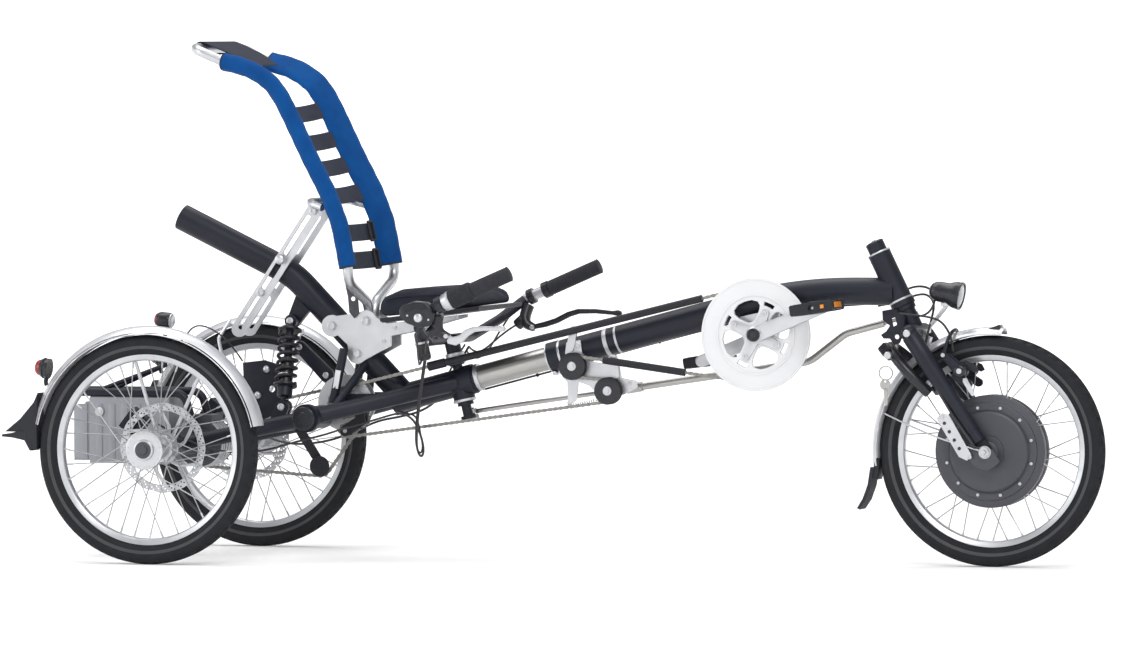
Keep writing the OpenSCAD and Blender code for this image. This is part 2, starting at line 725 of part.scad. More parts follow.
module ring_lock() color(rubber) place() difference() {
    along([1556, 0, 462], [1699, 0, 351]) translate([0, 0, 20]) {
        rotate([0, 0, 0]) translate([-14, -66, 0]) cube([30, 132, 26]);
        for (y = [-66, 42]) translate([-14, y, 0]) cube([30, 24, 130]);
    }
    cross_bar(front_axle, wheel_r + 8, 80);
}

module rim_brake() color(rubber) place() both_sides() {
    bar([1742, -46, 424], [1742, -30, 424], 14);
    side_plate(-44, 8) link2d([1742, 424], [1712, 452], 15, 10);
    side_plate(-44, 8) link2d([1730, 412], [1758, 396], 9, 9);
}

module torque_arm() color(silver) place() side_plate(-70, 4) difference() {
    polygon([[1694, 322], [1706, 334], [1722, 330], [1772, 244], [1762, 232], [1744, 240]]);
    for (k = [0 : 3]) translate([1712 + 11 * k, 312 - 18 * k]) circle(r = 4);
}

// ---------------------------------------------------------------- steering

bar_s = 123;
bar_bend = [640, -grip_y, 561.5];
grip_dir = unit([151, 0, 65]);
grip_from = bar_bend + grip_dir * 24;
grip_to = bar_bend + grip_dir * 188.4;

module handlebar() color(black) place() {
        bar(on_bar(-56), on_bar(bar_s), 11);
        bar(on_bar(-30), on_bar(-22.8), 18);
        bar(on_bar(60), on_bar(bar_s - 2), 17);
        pipe(both_ways([grip_to - grip_dir * 3, bar_bend, [592, -grip_y + 38, 518],
                        on_bar(bar_s - 4) + [-4, -150, 0]]), 11, 30);
        // Lower arm with the pin of the rod
        leaning(on_bar(bar_eye_s - 16), bar_lean) linear_extrude(8)
            link2d([0, 0], [0, bar_arm], 17, 11);
        translate([0, bar_arm, 0]) bar(on_bar(bar_eye_s - 10), on_bar(bar_eye_s + 8), 4);
}

module grips() color(rubber) place() both_sides() difference() {
    union() {
        bar(grip_from, grip_to, 17);
        bar(grip_from, grip_from + grip_dir * 52, 21);
    }
    bar(grip_from - grip_dir * 5, grip_to - grip_dir * 3, 11);
}

module brake_levers() color(rubber) place() both_sides() {
    difference() {
        union() {
            bar(bar_bend + grip_dir * 8, grip_from - grip_dir * 0.5, 18);
            bar([646, -grip_y + 6, 560], [640, -grip_y + 20, 512], 13);
            bar([628, -grip_y + 20, 506], [668, -grip_y + 20, 496], 14);
        }
        bar([592, -grip_y + 38, 518], bar_bend, 11.7);
        bar(bar_bend, grip_to, 11.7);
        translate(bar_bend) sphere(r = 15.5);
    }
    side_plate(-grip_y + 20, 12) {
        link2d([660, 500], [722, 516], 7, 6);
        link2d([722, 516], [786, 517], 6, 6);
        translate([792, 517]) circle(r = 8);
    }
}

module steering_rod() color([0.5, 0.5, 0.53]) place() {
    y0 = bar_arm;
    eye = on_bar(bar_eye_s) + [0, y0, 0];
    tip = on_steer(steer_eye_s) + [0, steer_arm, 0];
    difference() {
        union() {
            along(eye - bar_dir * 5, eye + bar_dir * 5) cylinder(h = 10, r = 10);
            pipe([eye + [8, 0, 0], [700, y0, 336], [975, y0 + 1, 377]], 5, 60);
            bar([965, y0 + 1, 375], [1000, y0 + 1, 381], 11);
            pipe([[975, y0 + 1, 377], [1380, 39, 438], [1462, 39, 500], [1548, 40, 523]], 8, 60);
            bar([1547, 40, 523], tip - [9, 0, 1], 4.5);
            along(tip - steer_dir * 5, tip + steer_dir * 5) cylinder(h = 10, r = 12);
        }
        along(eye - bar_dir * 12, eye + bar_dir * 12) cylinder(h = 24, r = 4 + fit);
        along(tip - steer_dir * 12, tip + steer_dir * 12) cylinder(h = 24, r = 7.5);
    }
}

// ---------------------------------------------------------------- crank set

module chainring() color([0.93, 0.93, 0.93]) place() translate(crank_mid) rotate([0, -crank_angle, 0]) {
    difference() {
        union() {
            cross_bar([0, chain_y, 0], chainring_r - 4.6, 3);
            cross_bar([0, chain_y - 6, 0], guard_r, 3);
            cross_bar([0, chain_y - 3, 0], 78, 8);
        }
        cross_bar([0, chain_y, 0], 16, 40);
        for (a = [36 : 72 : 324]) translate([0, chain_y, 0]) rotate([0, a, 0])
            cross_bar([52, 0, 0], 22, 40);
    }
}

module cranks() color([0.85, 0.85, 0.86]) place() {
    cross_bar(crank_mid, 12, 150);
    for (s = [-1, 1]) {
        end = crank_mid - arm_dir * crank_len * s;
        side_plate(s * 64, 14) difference() {
            link2d([crank_mid[0], crank_mid[2]], [end[0], end[2]], 19, 14);
            translate([crank_mid[0], crank_mid[2]]) circle(r = 12);
        }
        cross_bar([end[0], s * 120, end[2]], 6, 100);
    }
}

module pedal_at(p, s) color(rubber) place() translate([p[0], s * 130, p[2]]) rotate([0, -pedal_tilt, 0])
    difference() {
        union() {
            cross_bar([0, 0, 0], 14, 96);
            for (y = [-45, 45]) translate([-48, y - 4, -12]) cube([96, 8, 24]);
            for (x = [-48, 38]) translate([x, -45, -12]) cube([10, 90, 24]);
        }
        cross_bar([0, 0, 0], 6 + fit, 120);
    }

main_frame();
pivot_tube();
swing_arm();
rear_axle();
shock_absorber();
shock_spring();
inner_tube();
boom_clamp();
front_boom();
head_tube();
bottom_bracket();
idler_bracket();
idlers();
chain_tubes();
drive_chain();
final_chain();
gear_hub();
derailleur();
differential();
battery();
battery_carrier();
disc_calipers();
seat_bracket();
seat_struts();
seat_frame();
right_sleeve();
left_sleeve();
seat_straps();
headrest();
seat_pan();
seat_cushion();
fork();
fork_cables();
front_fender();
front_mudflap();
headlight();
ring_lock();
rim_brake();
torque_arm();
handlebar();
grips();
brake_levers();
steering_rod();
hub_motor();
rim_at(front_axle);  // front_rim
tyre_at(front_axle);  // front_tyre
rear_hub_shape();  // right_hub
rim_at([0, -rear_y, wheel_r]);  // right_rim
tyre_at([0, -rear_y, wheel_r]);  // right_tyre
mirror([0, 1, 0]) rear_hub_shape();  // left_hub
rim_at([0, rear_y, wheel_r]);  // left_rim
tyre_at([0, rear_y, wheel_r]);  // left_tyre
chainring();
cranks();
pedal_at(pedal_right, -1);  // right_pedal
pedal_at(pedal_left, 1);  // left_pedal
rear_fenders();
rear_mudflaps();
tail_lamps();
frame_cables();

module rear_fenders() color(silver) place() both_sides() {
    fender_arc([0, -rear_y, wheel_r], 270, 60, 12, 168);
    // Stay from the mudguard's inner edge down to the axle housing
    pipe([[-64, -rear_y + 26, 507], [-70, -286, 470], [-16, -262, 268]], 4, 16);
    pipe([[110, -rear_y + 26, 490], [110, -286, 455], [14, -262, 268]], 4, 16);
}

module rear_mudflaps() color(rubber) place() for (y = [-rear_y, rear_y]) side_plate(y, 46)
    polygon([[-262, 303], [-268, 303], [-284, 292], [-310, 284], [-332, 281], [-333, 276], [-308, 274], [-280, 268],
             [-268, 246], [-262, 246]]);

module tail_lamps() color(rubber) place() {
    for (y = [-rear_y, rear_y]) along([-226, y, 424], [-262, y, 428]) cylinder(h = 30, r = 22);
    along([-80, 0, 518], [-116, 0, 522]) cylinder(h = 36, r = 18);
}

module frame_cables() color(rubber) place() {
    cable(right_cable, 3, 3);
    cable(left_cable, 3, 3);
    cable(boom_cable, 3, 2);
}
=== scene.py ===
import json
import math

import bpy
from mathutils import Matrix, Vector


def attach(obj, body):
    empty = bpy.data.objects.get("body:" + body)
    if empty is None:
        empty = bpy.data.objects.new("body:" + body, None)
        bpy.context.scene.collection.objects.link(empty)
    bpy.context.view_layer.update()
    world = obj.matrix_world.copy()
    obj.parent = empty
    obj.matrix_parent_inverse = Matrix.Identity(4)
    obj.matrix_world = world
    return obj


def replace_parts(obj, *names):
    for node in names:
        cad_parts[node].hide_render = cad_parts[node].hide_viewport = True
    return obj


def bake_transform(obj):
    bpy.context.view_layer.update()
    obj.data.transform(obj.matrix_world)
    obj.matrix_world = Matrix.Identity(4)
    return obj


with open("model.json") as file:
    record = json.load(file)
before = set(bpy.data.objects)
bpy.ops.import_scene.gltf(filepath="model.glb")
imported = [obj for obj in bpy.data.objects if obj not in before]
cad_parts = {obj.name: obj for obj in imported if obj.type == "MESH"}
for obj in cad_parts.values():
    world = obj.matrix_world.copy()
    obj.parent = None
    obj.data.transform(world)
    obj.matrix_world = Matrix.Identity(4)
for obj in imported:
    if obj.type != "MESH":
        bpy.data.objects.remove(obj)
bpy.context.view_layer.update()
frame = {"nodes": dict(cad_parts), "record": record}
nodes = frame["nodes"]


# ---------------------------------------------------------------- camera, floor and light

YAW, PITCH, ROLL = 0.302896, 0.0325612, -0.0028693
CAMERA_PLACE = Vector((6.0502, -19.4545, 1.17375))
FLOOR_RADIUS, WALL_BEND, FLOOR_REACH = 62, 9, 84


def add_camera():
    ahead = Vector((-math.sin(YAW) * math.cos(PITCH), math.cos(YAW) * math.cos(PITCH), -math.sin(PITCH)))
    level = Vector((math.cos(YAW), math.sin(YAW), 0))
    upright = level.cross(ahead)
    right = level * math.cos(ROLL) + upright * math.sin(ROLL)
    up = upright * math.cos(ROLL) - level * math.sin(ROLL)
    turn = Matrix((right, up, -ahead)).transposed().to_4x4()
    data = bpy.data.cameras.new("camera")
    data.lens = 298.34
    data.sensor_width = 36
    data.sensor_fit = "HORIZONTAL"
    data.clip_end = 200
    camera = bpy.data.objects.new("camera", data)
    bpy.context.scene.collection.objects.link(camera)
    camera.matrix_world = Matrix.Translation(CAMERA_PLACE) @ turn
    bpy.context.scene.camera = camera


def add_light(name, place, target, size, watts):
    data = bpy.data.lights.new(name, "AREA")
    data.shape = "RECTANGLE"
    data.size, data.size_y = size
    data.energy = watts
    lamp = bpy.data.objects.new(name, data)
    bpy.context.scene.collection.objects.link(lamp)
    lamp.location = place
    lamp.rotation_euler = (Vector(target) - Vector(place)).to_track_quat("-Z", "Y").to_euler()


def add_stage():
    bpy.ops.object.select_all(action="DESELECT")
    bpy.ops.mesh.primitive_grid_add(x_subdivisions=96, y_subdivisions=32, size=1)
    floor = bpy.context.object
    floor.name = "floor"
    floor.data.name = "floor"
    for v in floor.data.vertices:
        # Level round floor that bends up into a low wall far outside
        turn, out = (v.co.x + 0.5) * 2 * math.pi, (v.co.y + 0.5) * FLOOR_REACH
        arc = min(max(out - FLOOR_RADIUS, 0) / WALL_BEND, math.pi / 2)
        reach = min(out, FLOOR_RADIUS) + WALL_BEND * math.sin(arc)
        wall = max(out - FLOOR_RADIUS - WALL_BEND * math.pi / 2, 0)
        v.co = (reach * math.cos(turn), reach * math.sin(turn), WALL_BEND * (1 - math.cos(arc)) + wall)
    bpy.ops.object.mode_set(mode="EDIT")
    bpy.ops.mesh.select_all(action="SELECT")
    bpy.ops.mesh.remove_doubles(threshold=0.001)
    bpy.ops.mesh.normals_make_consistent(inside=True)
    bpy.ops.object.mode_set(mode="OBJECT")
    bpy.ops.object.shade_smooth()
    floor.data.materials.append(floor_material())
    add_light("key", (2.5, -5.5, 6.0), (0, 0, 0.4), (5, 4), 330)
    add_light("top", (-1.5, 1.0, 5.5), (0, 0, 0.4), (6, 3), 190)
    add_light("left", (-6.0, -3.5, 2.6), (0, 0, 0.5), (3, 4), 90)
    world = bpy.context.scene.world or bpy.data.worlds.new("world")
    bpy.context.scene.world = world
    world.use_nodes = True
    # Sky that is bright overhead and greyer towards the horizon
    tree = world.node_tree
    sky = tree.nodes["Background"]
    place, split, ramp = (tree.nodes.new(n) for n in ("ShaderNodeTexCoord", "ShaderNodeSeparateXYZ",
                                                      "ShaderNodeValToRGB"))
    link(tree, place.outputs["Generated"], split.inputs[0])
    link(tree, split.outputs["Z"], ramp.inputs["Fac"])
    ramp.color_ramp.elements[0].color = (0.13, 0.135, 0.15, 1)
    ramp.color_ramp.elements[1].color = (1, 1, 1, 1)
    ramp.color_ramp.elements[1].position = 0.75
    link(tree, ramp.outputs["Color"], sky.inputs["Color"])
    sky.inputs["Strength"].default_value = 0.7
    bpy.context.scene.view_settings.view_transform = "Standard"


# ---------------------------------------------------------------- materials

def new_material(name):
    material = bpy.data.materials.new(name)
    material.use_nodes = True
    return material, material.node_tree, material.node_tree.nodes["Principled BSDF"]


def make_wear_group():
    """Two colours mixed by soft patches, with fine grain in the roughness and the surface."""
    group = bpy.data.node_groups.new("wear", "ShaderNodeTree")
    face = group.interface
    for name, kind, value in (("Light", "NodeSocketColor", (1, 1, 1, 1)),
                              ("Dark", "NodeSocketColor", (0, 0, 0, 1)), ("Patches", "NodeSocketFloat", 9.0),
                              ("Grain", "NodeSocketFloat", 900.0), ("Roughness", "NodeSocketFloat", 0.4),
                              ("Spread", "NodeSocketFloat", 0.1), ("Relief", "NodeSocketFloat", 0.1),
                              ("Stretch", "NodeSocketVector", (1, 1, 1))):
        face.new_socket(name=name, in_out="INPUT", socket_type=kind).default_value = value
    for name, kind in (("Color", "NodeSocketColor"), ("Roughness", "NodeSocketFloat"),
                       ("Normal", "NodeSocketVector")):
        face.new_socket(name=name, in_out="OUTPUT", socket_type=kind)
    new, wire = group.nodes.new, group.links.new
    inside, outside = new("NodeGroupInput"), new("NodeGroupOutput")
    place, scale = new("ShaderNodeTexCoord"), new("ShaderNodeVectorMath")
    scale.operation = "MULTIPLY"
    wire(place.outputs["Object"], scale.inputs[0])
    wire(inside.outputs["Stretch"], scale.inputs[1])
    patches, grain = new("ShaderNodeTexNoise"), new("ShaderNodeTexNoise")
    for noise, size in ((patches, "Patches"), (grain, "Grain")):
        wire(scale.outputs[0], noise.inputs["Vector"])
        wire(inside.outputs[size], noise.inputs["Scale"])
    patches.inputs["Detail"].default_value = 5
    mix = new("ShaderNodeMix")
    mix.data_type = "RGBA"
    wire(patches.outputs["Fac"], mix.inputs["Factor"])
    wire(inside.outputs["Dark"], mix.inputs[6])
    wire(inside.outputs["Light"], mix.inputs[7])
    wire(mix.outputs[2], outside.inputs["Color"])
    rough = new("ShaderNodeMath")
    rough.operation = "MULTIPLY_ADD"
    wire(grain.outputs["Fac"], rough.inputs[0])
    wire(inside.outputs["Spread"], rough.inputs[1])
    wire(inside.outputs["Roughness"], rough.inputs[2])
    wire(rough.outputs[0], outside.inputs["Roughness"])
    bump = new("ShaderNodeBump")
    bump.inputs["Distance"].default_value = 0.0004
    wire(inside.outputs["Relief"], bump.inputs["Strength"])
    wire(grain.outputs["Fac"], bump.inputs["Height"])
    wire(bump.outputs["Normal"], outside.inputs["Normal"])
    return group


def surface(name, light, dark, rough, metallic=0.0, spread=0.12, relief=0.1, patches=9.0, grain=900.0,
            stretch=(1, 1, 1), coat=0.0, shine=0.5):
    material, tree, shader = new_material(name)
    wear = tree.nodes.new("ShaderNodeGroup")
    wear.node_tree = wear_group
    for socket, value in (("Light", (*light, 1)), ("Dark", (*dark, 1)), ("Patches", patches),
                          ("Grain", grain), ("Roughness", rough), ("Spread", spread), ("Relief", relief),
                          ("Stretch", stretch)):
        wear.inputs[socket].default_value = value
    link(tree, wear.outputs["Color"], shader.inputs["Base Color"])
    link(tree, wear.outputs["Roughness"], shader.inputs["Roughness"])
    link(tree, wear.outputs["Normal"], shader.inputs["Normal"])
    shader.inputs["Metallic"].default_value = metallic
    shader.inputs["Specular IOR Level"].default_value = shine
    shader.inputs["Coat Weight"].default_value = coat
    shader.inputs["Coat Roughness"].default_value = 0.25
    return material


def woven(name, light, dark, scale, relief):
    """Cloth: a basket weave of two crossing waves over uneven colour."""
    material = surface(name, light, dark, 0.82, spread=0.15, relief=0.2, patches=22, grain=1400, shine=0.1)
    tree = material.node_tree
    shader = tree.nodes["Principled BSDF"]
    wear = next(n for n in tree.nodes if n.type == "GROUP")
    place, both = tree.nodes.new("ShaderNodeTexCoord"), tree.nodes.new("ShaderNodeMath")
    both.operation = "MULTIPLY"
    for k, direction in enumerate("XZ"):
        wave = tree.nodes.new("ShaderNodeTexWave")
        wave.bands_direction = direction
        wave.inputs["Scale"].default_value = scale
        wave.inputs["Distortion"].default_value = 0.4
        link(tree, place.outputs["Object"], wave.inputs["Vector"])
        link(tree, wave.outputs["Fac"], both.inputs[k])
    bump = tree.nodes.new("ShaderNodeBump")
    bump.inputs["Strength"].default_value = relief
    bump.inputs["Distance"].default_value = 0.0006
    link(tree, both.outputs[0], bump.inputs["Height"])
    link(tree, wear.outputs["Normal"], bump.inputs["Normal"])
    link(tree, bump.outputs["Normal"], shader.inputs["Normal"])
    shader.inputs["Sheen Weight"].default_value = 0.04
    return material


def link(tree, a, b):
    tree.links.new(a, b)


def floor_material():
    material, tree, shader = new_material("pale_floor")
    noise = tree.nodes.new("ShaderNodeTexNoise")
    noise.inputs["Scale"].default_value = 0.6
    ramp = tree.nodes.new("ShaderNodeValToRGB")
    ramp.color_ramp.elements[0].color = (0.9, 0.9, 0.9, 1)
    ramp.color_ramp.elements[1].color = (0.93, 0.93, 0.93, 1)
    link(tree, noise.outputs["Fac"], ramp.inputs["Fac"])
    link(tree, ramp.outputs["Color"], shader.inputs["Base Color"])
    link(tree, ramp.outputs["Color"], shader.inputs["Emission Color"])
    # The floor glows more the further out it lies, so that it reads white to its edge
    place, length, spread = (tree.nodes.new(n) for n in ("ShaderNodeTexCoord", "ShaderNodeVectorMath",
                                                         "ShaderNodeMapRange"))
    length.operation = "LENGTH"
    link(tree, place.outputs["Object"], length.inputs[0])
    link(tree, length.outputs["Value"], spread.inputs["Value"])
    for socket, value in (("From Min", 2), ("From Max", 9), ("To Min", 0.1), ("To Max", 0.75)):
        spread.inputs[socket].default_value = value
    link(tree, spread.outputs["Result"], shader.inputs["Emission Strength"])
    shader.inputs["Roughness"].default_value = 0.9
    return material


wear_group = make_wear_group()
looks = {
    "black_paint": surface("black_paint", (0.012, 0.014, 0.024), (0.005, 0.006, 0.012), 0.36, shine=0.28),
    "aluminium": surface("aluminium", (0.6, 0.61, 0.63), (0.42, 0.43, 0.45), 0.3, metallic=0.9, patches=30),
    "silver_paint": surface("silver_paint", (0.66, 0.67, 0.69), (0.52, 0.53, 0.56), 0.28, metallic=0.6,
                            coat=0.5),
    "stainless": surface("stainless", (0.46, 0.45, 0.43), (0.29, 0.285, 0.28), 0.25, metallic=0.95,
                         patches=60,
                         stretch=(0.15, 1, 1), relief=0.06),
    "motor_grey": surface("motor_grey", (0.07, 0.073, 0.085), (0.04, 0.042, 0.05), 0.4, metallic=0.4),
    "spring_black": surface("spring_black", (0.016, 0.016, 0.02), (0.008, 0.008, 0.011), 0.3, shine=0.35),
    "chain_steel": surface("chain_steel", (0.3, 0.295, 0.28), (0.15, 0.145, 0.135), 0.3, metallic=0.9,
                           patches=200),
    "brake_steel": surface("brake_steel", (0.58, 0.59, 0.61), (0.4, 0.41, 0.43), 0.26, metallic=0.85,
                           patches=60),
    "tyre": surface("tyre", (0.02, 0.021, 0.024), (0.009, 0.01, 0.012), 0.62, shine=0.15, relief=0.35,
                    patches=40),
    "black_plastic": surface("black_plastic", (0.024, 0.025, 0.03), (0.013, 0.014, 0.017), 0.45, relief=0.2,
                             shine=0.2),
    "gloss_black": surface("gloss_black", (0.02, 0.021, 0.026), (0.01, 0.011, 0.014), 0.2, shine=0.35),
    "white_plastic": surface("white_plastic", (0.66, 0.665, 0.68), (0.58, 0.585, 0.6), 0.32, spread=0.06),
    "grip_rubber": surface("grip_rubber", (0.036, 0.037, 0.043), (0.02, 0.021, 0.026), 0.6, relief=0.4,
                           patches=60, shine=0.15),
    "blue_cloth": woven("blue_cloth", (0.003, 0.075, 0.27), (0.0015, 0.036, 0.15), 420, 0.5),
    "grey_webbing": woven("grey_webbing", (0.04, 0.045, 0.065), (0.02, 0.023, 0.034), 520, 0.7),
    "seam_cloth": woven("seam_cloth", (0.0015, 0.03, 0.12), (0.001, 0.016, 0.07), 420, 0.5),
    "seat_cloth": woven("seat_cloth", (0.022, 0.025, 0.036), (0.012, 0.013, 0.02), 480, 0.4),
    "cable_black": surface("cable_black", (0.018, 0.018, 0.022), (0.01, 0.01, 0.012), 0.4),
    "spoke_steel": surface("spoke_steel", (0.42, 0.425, 0.435), (0.28, 0.285, 0.29), 0.3, metallic=0.9),
    "battery_grey": surface("battery_grey", (0.3, 0.31, 0.335), (0.2, 0.21, 0.23), 0.4, metallic=0.3),
    "amber": surface("amber_plastic", (0.75, 0.27, 0.02), (0.55, 0.16, 0.01), 0.18, relief=0.6, grain=500),
    "red_lens": surface("red_lens", (0.28, 0.012, 0.012), (0.14, 0.004, 0.006), 0.12, relief=0.5, grain=400),
    "pale_band": surface("pale_band", (0.036, 0.038, 0.042), (0.02, 0.021, 0.024), 0.5, patches=60),
    "silver_band": surface("silver_band", (0.5, 0.51, 0.53), (0.4, 0.41, 0.43), 0.3, metallic=0.4),
}


def clear_plastic():
    material, tree, shader = new_material("clear_plastic")
    wear = tree.nodes.new("ShaderNodeGroup")
    wear.node_tree = wear_group
    wear.inputs["Light"].default_value = (0.9, 0.92, 0.94, 1)
    wear.inputs["Dark"].default_value = (0.7, 0.73, 0.76, 1)
    wear.inputs["Roughness"].default_value = 0.08
    wear.inputs["Spread"].default_value = 0.04
    for out, into in (("Color", "Base Color"), ("Roughness", "Roughness"), ("Normal", "Normal")):
        link(tree, wear.outputs[out], shader.inputs[into])
    shader.inputs["Transmission Weight"].default_value = 0.75
    shader.inputs["IOR"].default_value = 1.45
    return material


looks["clear"] = clear_plastic()
for part in frame["record"]["subparts"]:
    obj = nodes[part["node"]]
    obj.data.materials.clear()
    obj.data.materials.append(looks[part["material_slot"]])
for name, look in (("battery", "battery_grey"), ("differential", "motor_grey")):
    nodes[name].data.materials[0] = looks[look]


# ---------------------------------------------------------------- modelling helpers

# Place of the rear axle in metres, then the driving sizes in mm
REAR_AXLE_X = -0.8585
WHEELBASE, HALF_TRACK, WHEEL_RADIUS = 1800, 370, 250
BAR_Y, SLEEVE_Y, LEVER_Y = 330, 160, 309
SIDES = ((-1, "right"), (1, "left"))


def at(x, y, z):
    """Place from millimetres, with x measured from the rear axle."""
    return Vector((x / 1000 + REAR_AXLE_X, y / 1000, z / 1000))


def only(obj):
    bpy.ops.object.select_all(action="DESELECT")
    obj.select_set(True)
    bpy.context.view_layer.objects.active = obj
    return obj


def tidy(obj, look, body, angle=38, merge=0.00002):
    """Cleans the mesh, smooths it, gives it its material and lets it ride on its body."""
    only(obj)
    bpy.ops.object.mode_set(mode="EDIT")
    bpy.ops.mesh.select_all(action="SELECT")
    bpy.ops.mesh.remove_doubles(threshold=merge)
    bpy.ops.mesh.normals_make_consistent(inside=False)
    bpy.ops.object.mode_set(mode="OBJECT")
    bpy.ops.object.shade_smooth_by_angle(angle=math.radians(angle))
    obj.data.materials.clear()
    obj.data.materials.append(looks[look])
    obj.data.name = obj.name
    if body:
        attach(obj, body)
    return obj


def new_curve(name, splines, kind="POLY", cyclic=False, flat=False):
    data = bpy.data.curves.new(name, "CURVE")
    data.dimensions = "2D" if flat else "3D"
    for points in splines:
        s = data.splines.new(kind)
        s.points.add(len(points) - 1)
        for p, q in zip(s.points, points):
            p.co = (q[0], q[1], q[2] if len(q) > 2 else 0, 1)
        s.use_cyclic_u = cyclic
        if kind == "NURBS":
            s.order_u = 3
            s.use_endpoint_u = True
            s.resolution_u = 5
    obj = bpy.data.objects.new(name, data)
    bpy.context.scene.collection.objects.link(obj)
    return obj


def to_mesh(obj, turn=None):
    only(obj)
    bpy.ops.object.convert(target="MESH")
    obj = bpy.context.object
    if turn:
        obj.data.transform(turn)
    return obj


def tube(name, routes, r, look, body, kind="NURBS", sides=2):
    """Round wire or pipe of radius r mm along each route of places in mm."""
    obj = new_curve(name, [[at(*q) for q in route] for route in routes], kind)
    obj.data.bevel_depth = r / 1000
    obj.data.bevel_resolution = sides
    obj.data.use_fill_caps = True
    return tidy(to_mesh(obj), look, body, 60)


SIDE = Matrix(((1, 0, 0, 0), (0, 0, -1, 0), (0, 1, 0, 0), (0, 0, 0, 1)))


def plate(name, outlines, y, thick, look, body, edge=0.6):
    """Flat plate seen from the side: outlines in mm, holes included, with rounded edges."""
    obj = new_curve(name, [[(q[0] / 1000 + REAR_AXLE_X, q[1] / 1000) for q in o] for o in outlines],
                    cyclic=True, flat=True)
    obj.data.fill_mode = "BOTH"
    obj.data.extrude = (thick / 2 - edge) / 1000
    obj.data.bevel_depth = edge / 1000
    obj.data.offset = -edge / 1000
    obj.data.bevel_resolution = 1 if edge < 2 else 3
    return tidy(to_mesh(obj, Matrix.Translation((0, y / 1000, 0)) @ SIDE), look, body)


def oblong(x0, z0, x1, z1):
    return [(x0, z0), (x1, z0), (x1, z1), (x0, z1)]


def circle(x, z, r, n=20):
    return [(x + r * math.cos(2 * math.pi * k / n), z + r * math.sin(2 * math.pi * k / n)) for k in range(n)]


def link_outline(a, b, ra, rb, n=10):
    """Outline of a flat link with round ends."""
    turn = math.atan2(b[1] - a[1], b[0] - a[0])
    ends = []
    for (x, z), r, start in ((a, ra, math.pi / 2), (b, rb, -math.pi / 2)):
        ends += [(x + r * math.cos(turn + start + math.pi * k / n), z +
                  r * math.sin(turn + start + math.pi * k / n)) for k in range(n + 1)]
    return ends


def toward(place, axis):
    """Matrix that puts +Z of a piece on axis, at place."""
    return Matrix.Translation(place) @ Vector(axis).to_track_quat("Z", "Y").to_matrix().to_4x4()


def turned(name, profile, place, axis, look, body, steps=40, closed=True, angle=38):
    """Turned piece: profile of (radius, height) in mm, spun round axis at place."""
    obj = to_mesh(new_curve(name, [[(r / 1000, 0, h / 1000) for r, h in profile]], cyclic=closed))
    bpy.ops.object.mode_set(mode="EDIT")
    bpy.ops.mesh.select_all(action="SELECT")
    bpy.ops.mesh.spin(steps=steps, angle=2 * math.pi, center=(0, 0, 0), axis=(0, 0, 1))
    bpy.ops.object.mode_set(mode="OBJECT")
    obj.data.transform(toward(place, axis))
    return tidy(obj, look, body, angle)


def joined(name, objs):
    objs = [o for o in objs if o]
    only(objs[0])
    for o in objs:
        o.select_set(True)
    if len(objs) > 1:
        bpy.ops.object.join()
    obj = bpy.context.object
    obj.name = obj.data.name = name
    return obj


def copies(obj, moves, name, body=None):
    """The piece at each of the moves, as one piece with its own mesh."""
    made = []
    for m in moves:
        o = obj.copy()
        o.data = obj.data.copy()
        bpy.context.scene.collection.objects.link(o)
        o.data.transform(m)
        if m.determinant() < 0:
            o.data.flip_normals()
        made.append(o)
    bpy.data.objects.remove(obj)
    out = joined(name, made)
    if body:
        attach(out, body)
    return out


MIRROR = Matrix.Scale(-1, 4, (0, 1, 0))


def about_y(x, z, degrees):
    """Turn round a sideways axis through a place in mm."""
    c = at(x, 0, z)
    return Matrix.Translation(c) @ Matrix.Rotation(math.radians(-degrees), 4, "Y") @ Matrix.Translation(-c)


def bolt(name, place, axis, r, look="aluminium", body=None, head=4.0, dome=False):
    """Socket-head or domed bolt that stands on a face."""
    if dome:
        profile = [(0, head), (r * 0.55, head * 0.93), (r * 0.85, head * 0.6), (r, 0.15 * head), (r, -1),
                   (0, -1)]
    else:
        profile = [(0, head - 2.2), (r * 0.48, head - 2.2), (r * 0.5, head), (r * 0.9, head), (r, head - 0.5),
                   (r, -1), (0, -1)]
    return turned(name, profile, place, axis, look, body, 12, closed=False)


def bolts(name, spots, axis, r, look, body, head=4.0, dome=False):
    spots = [at(*s) for s in spots]
    first = bolt(name, spots[0], axis, r, look, None, head, dome)
    return copies(first, [Matrix.Translation(s - spots[0]) for s in spots], name, body)


# ---------------------------------------------------------------- wheels

def both_ends(half):
    """Closed profile from its outer half: the same points again with the height turned round."""
    return half + [(r, -h) for r, h in reversed(half)]


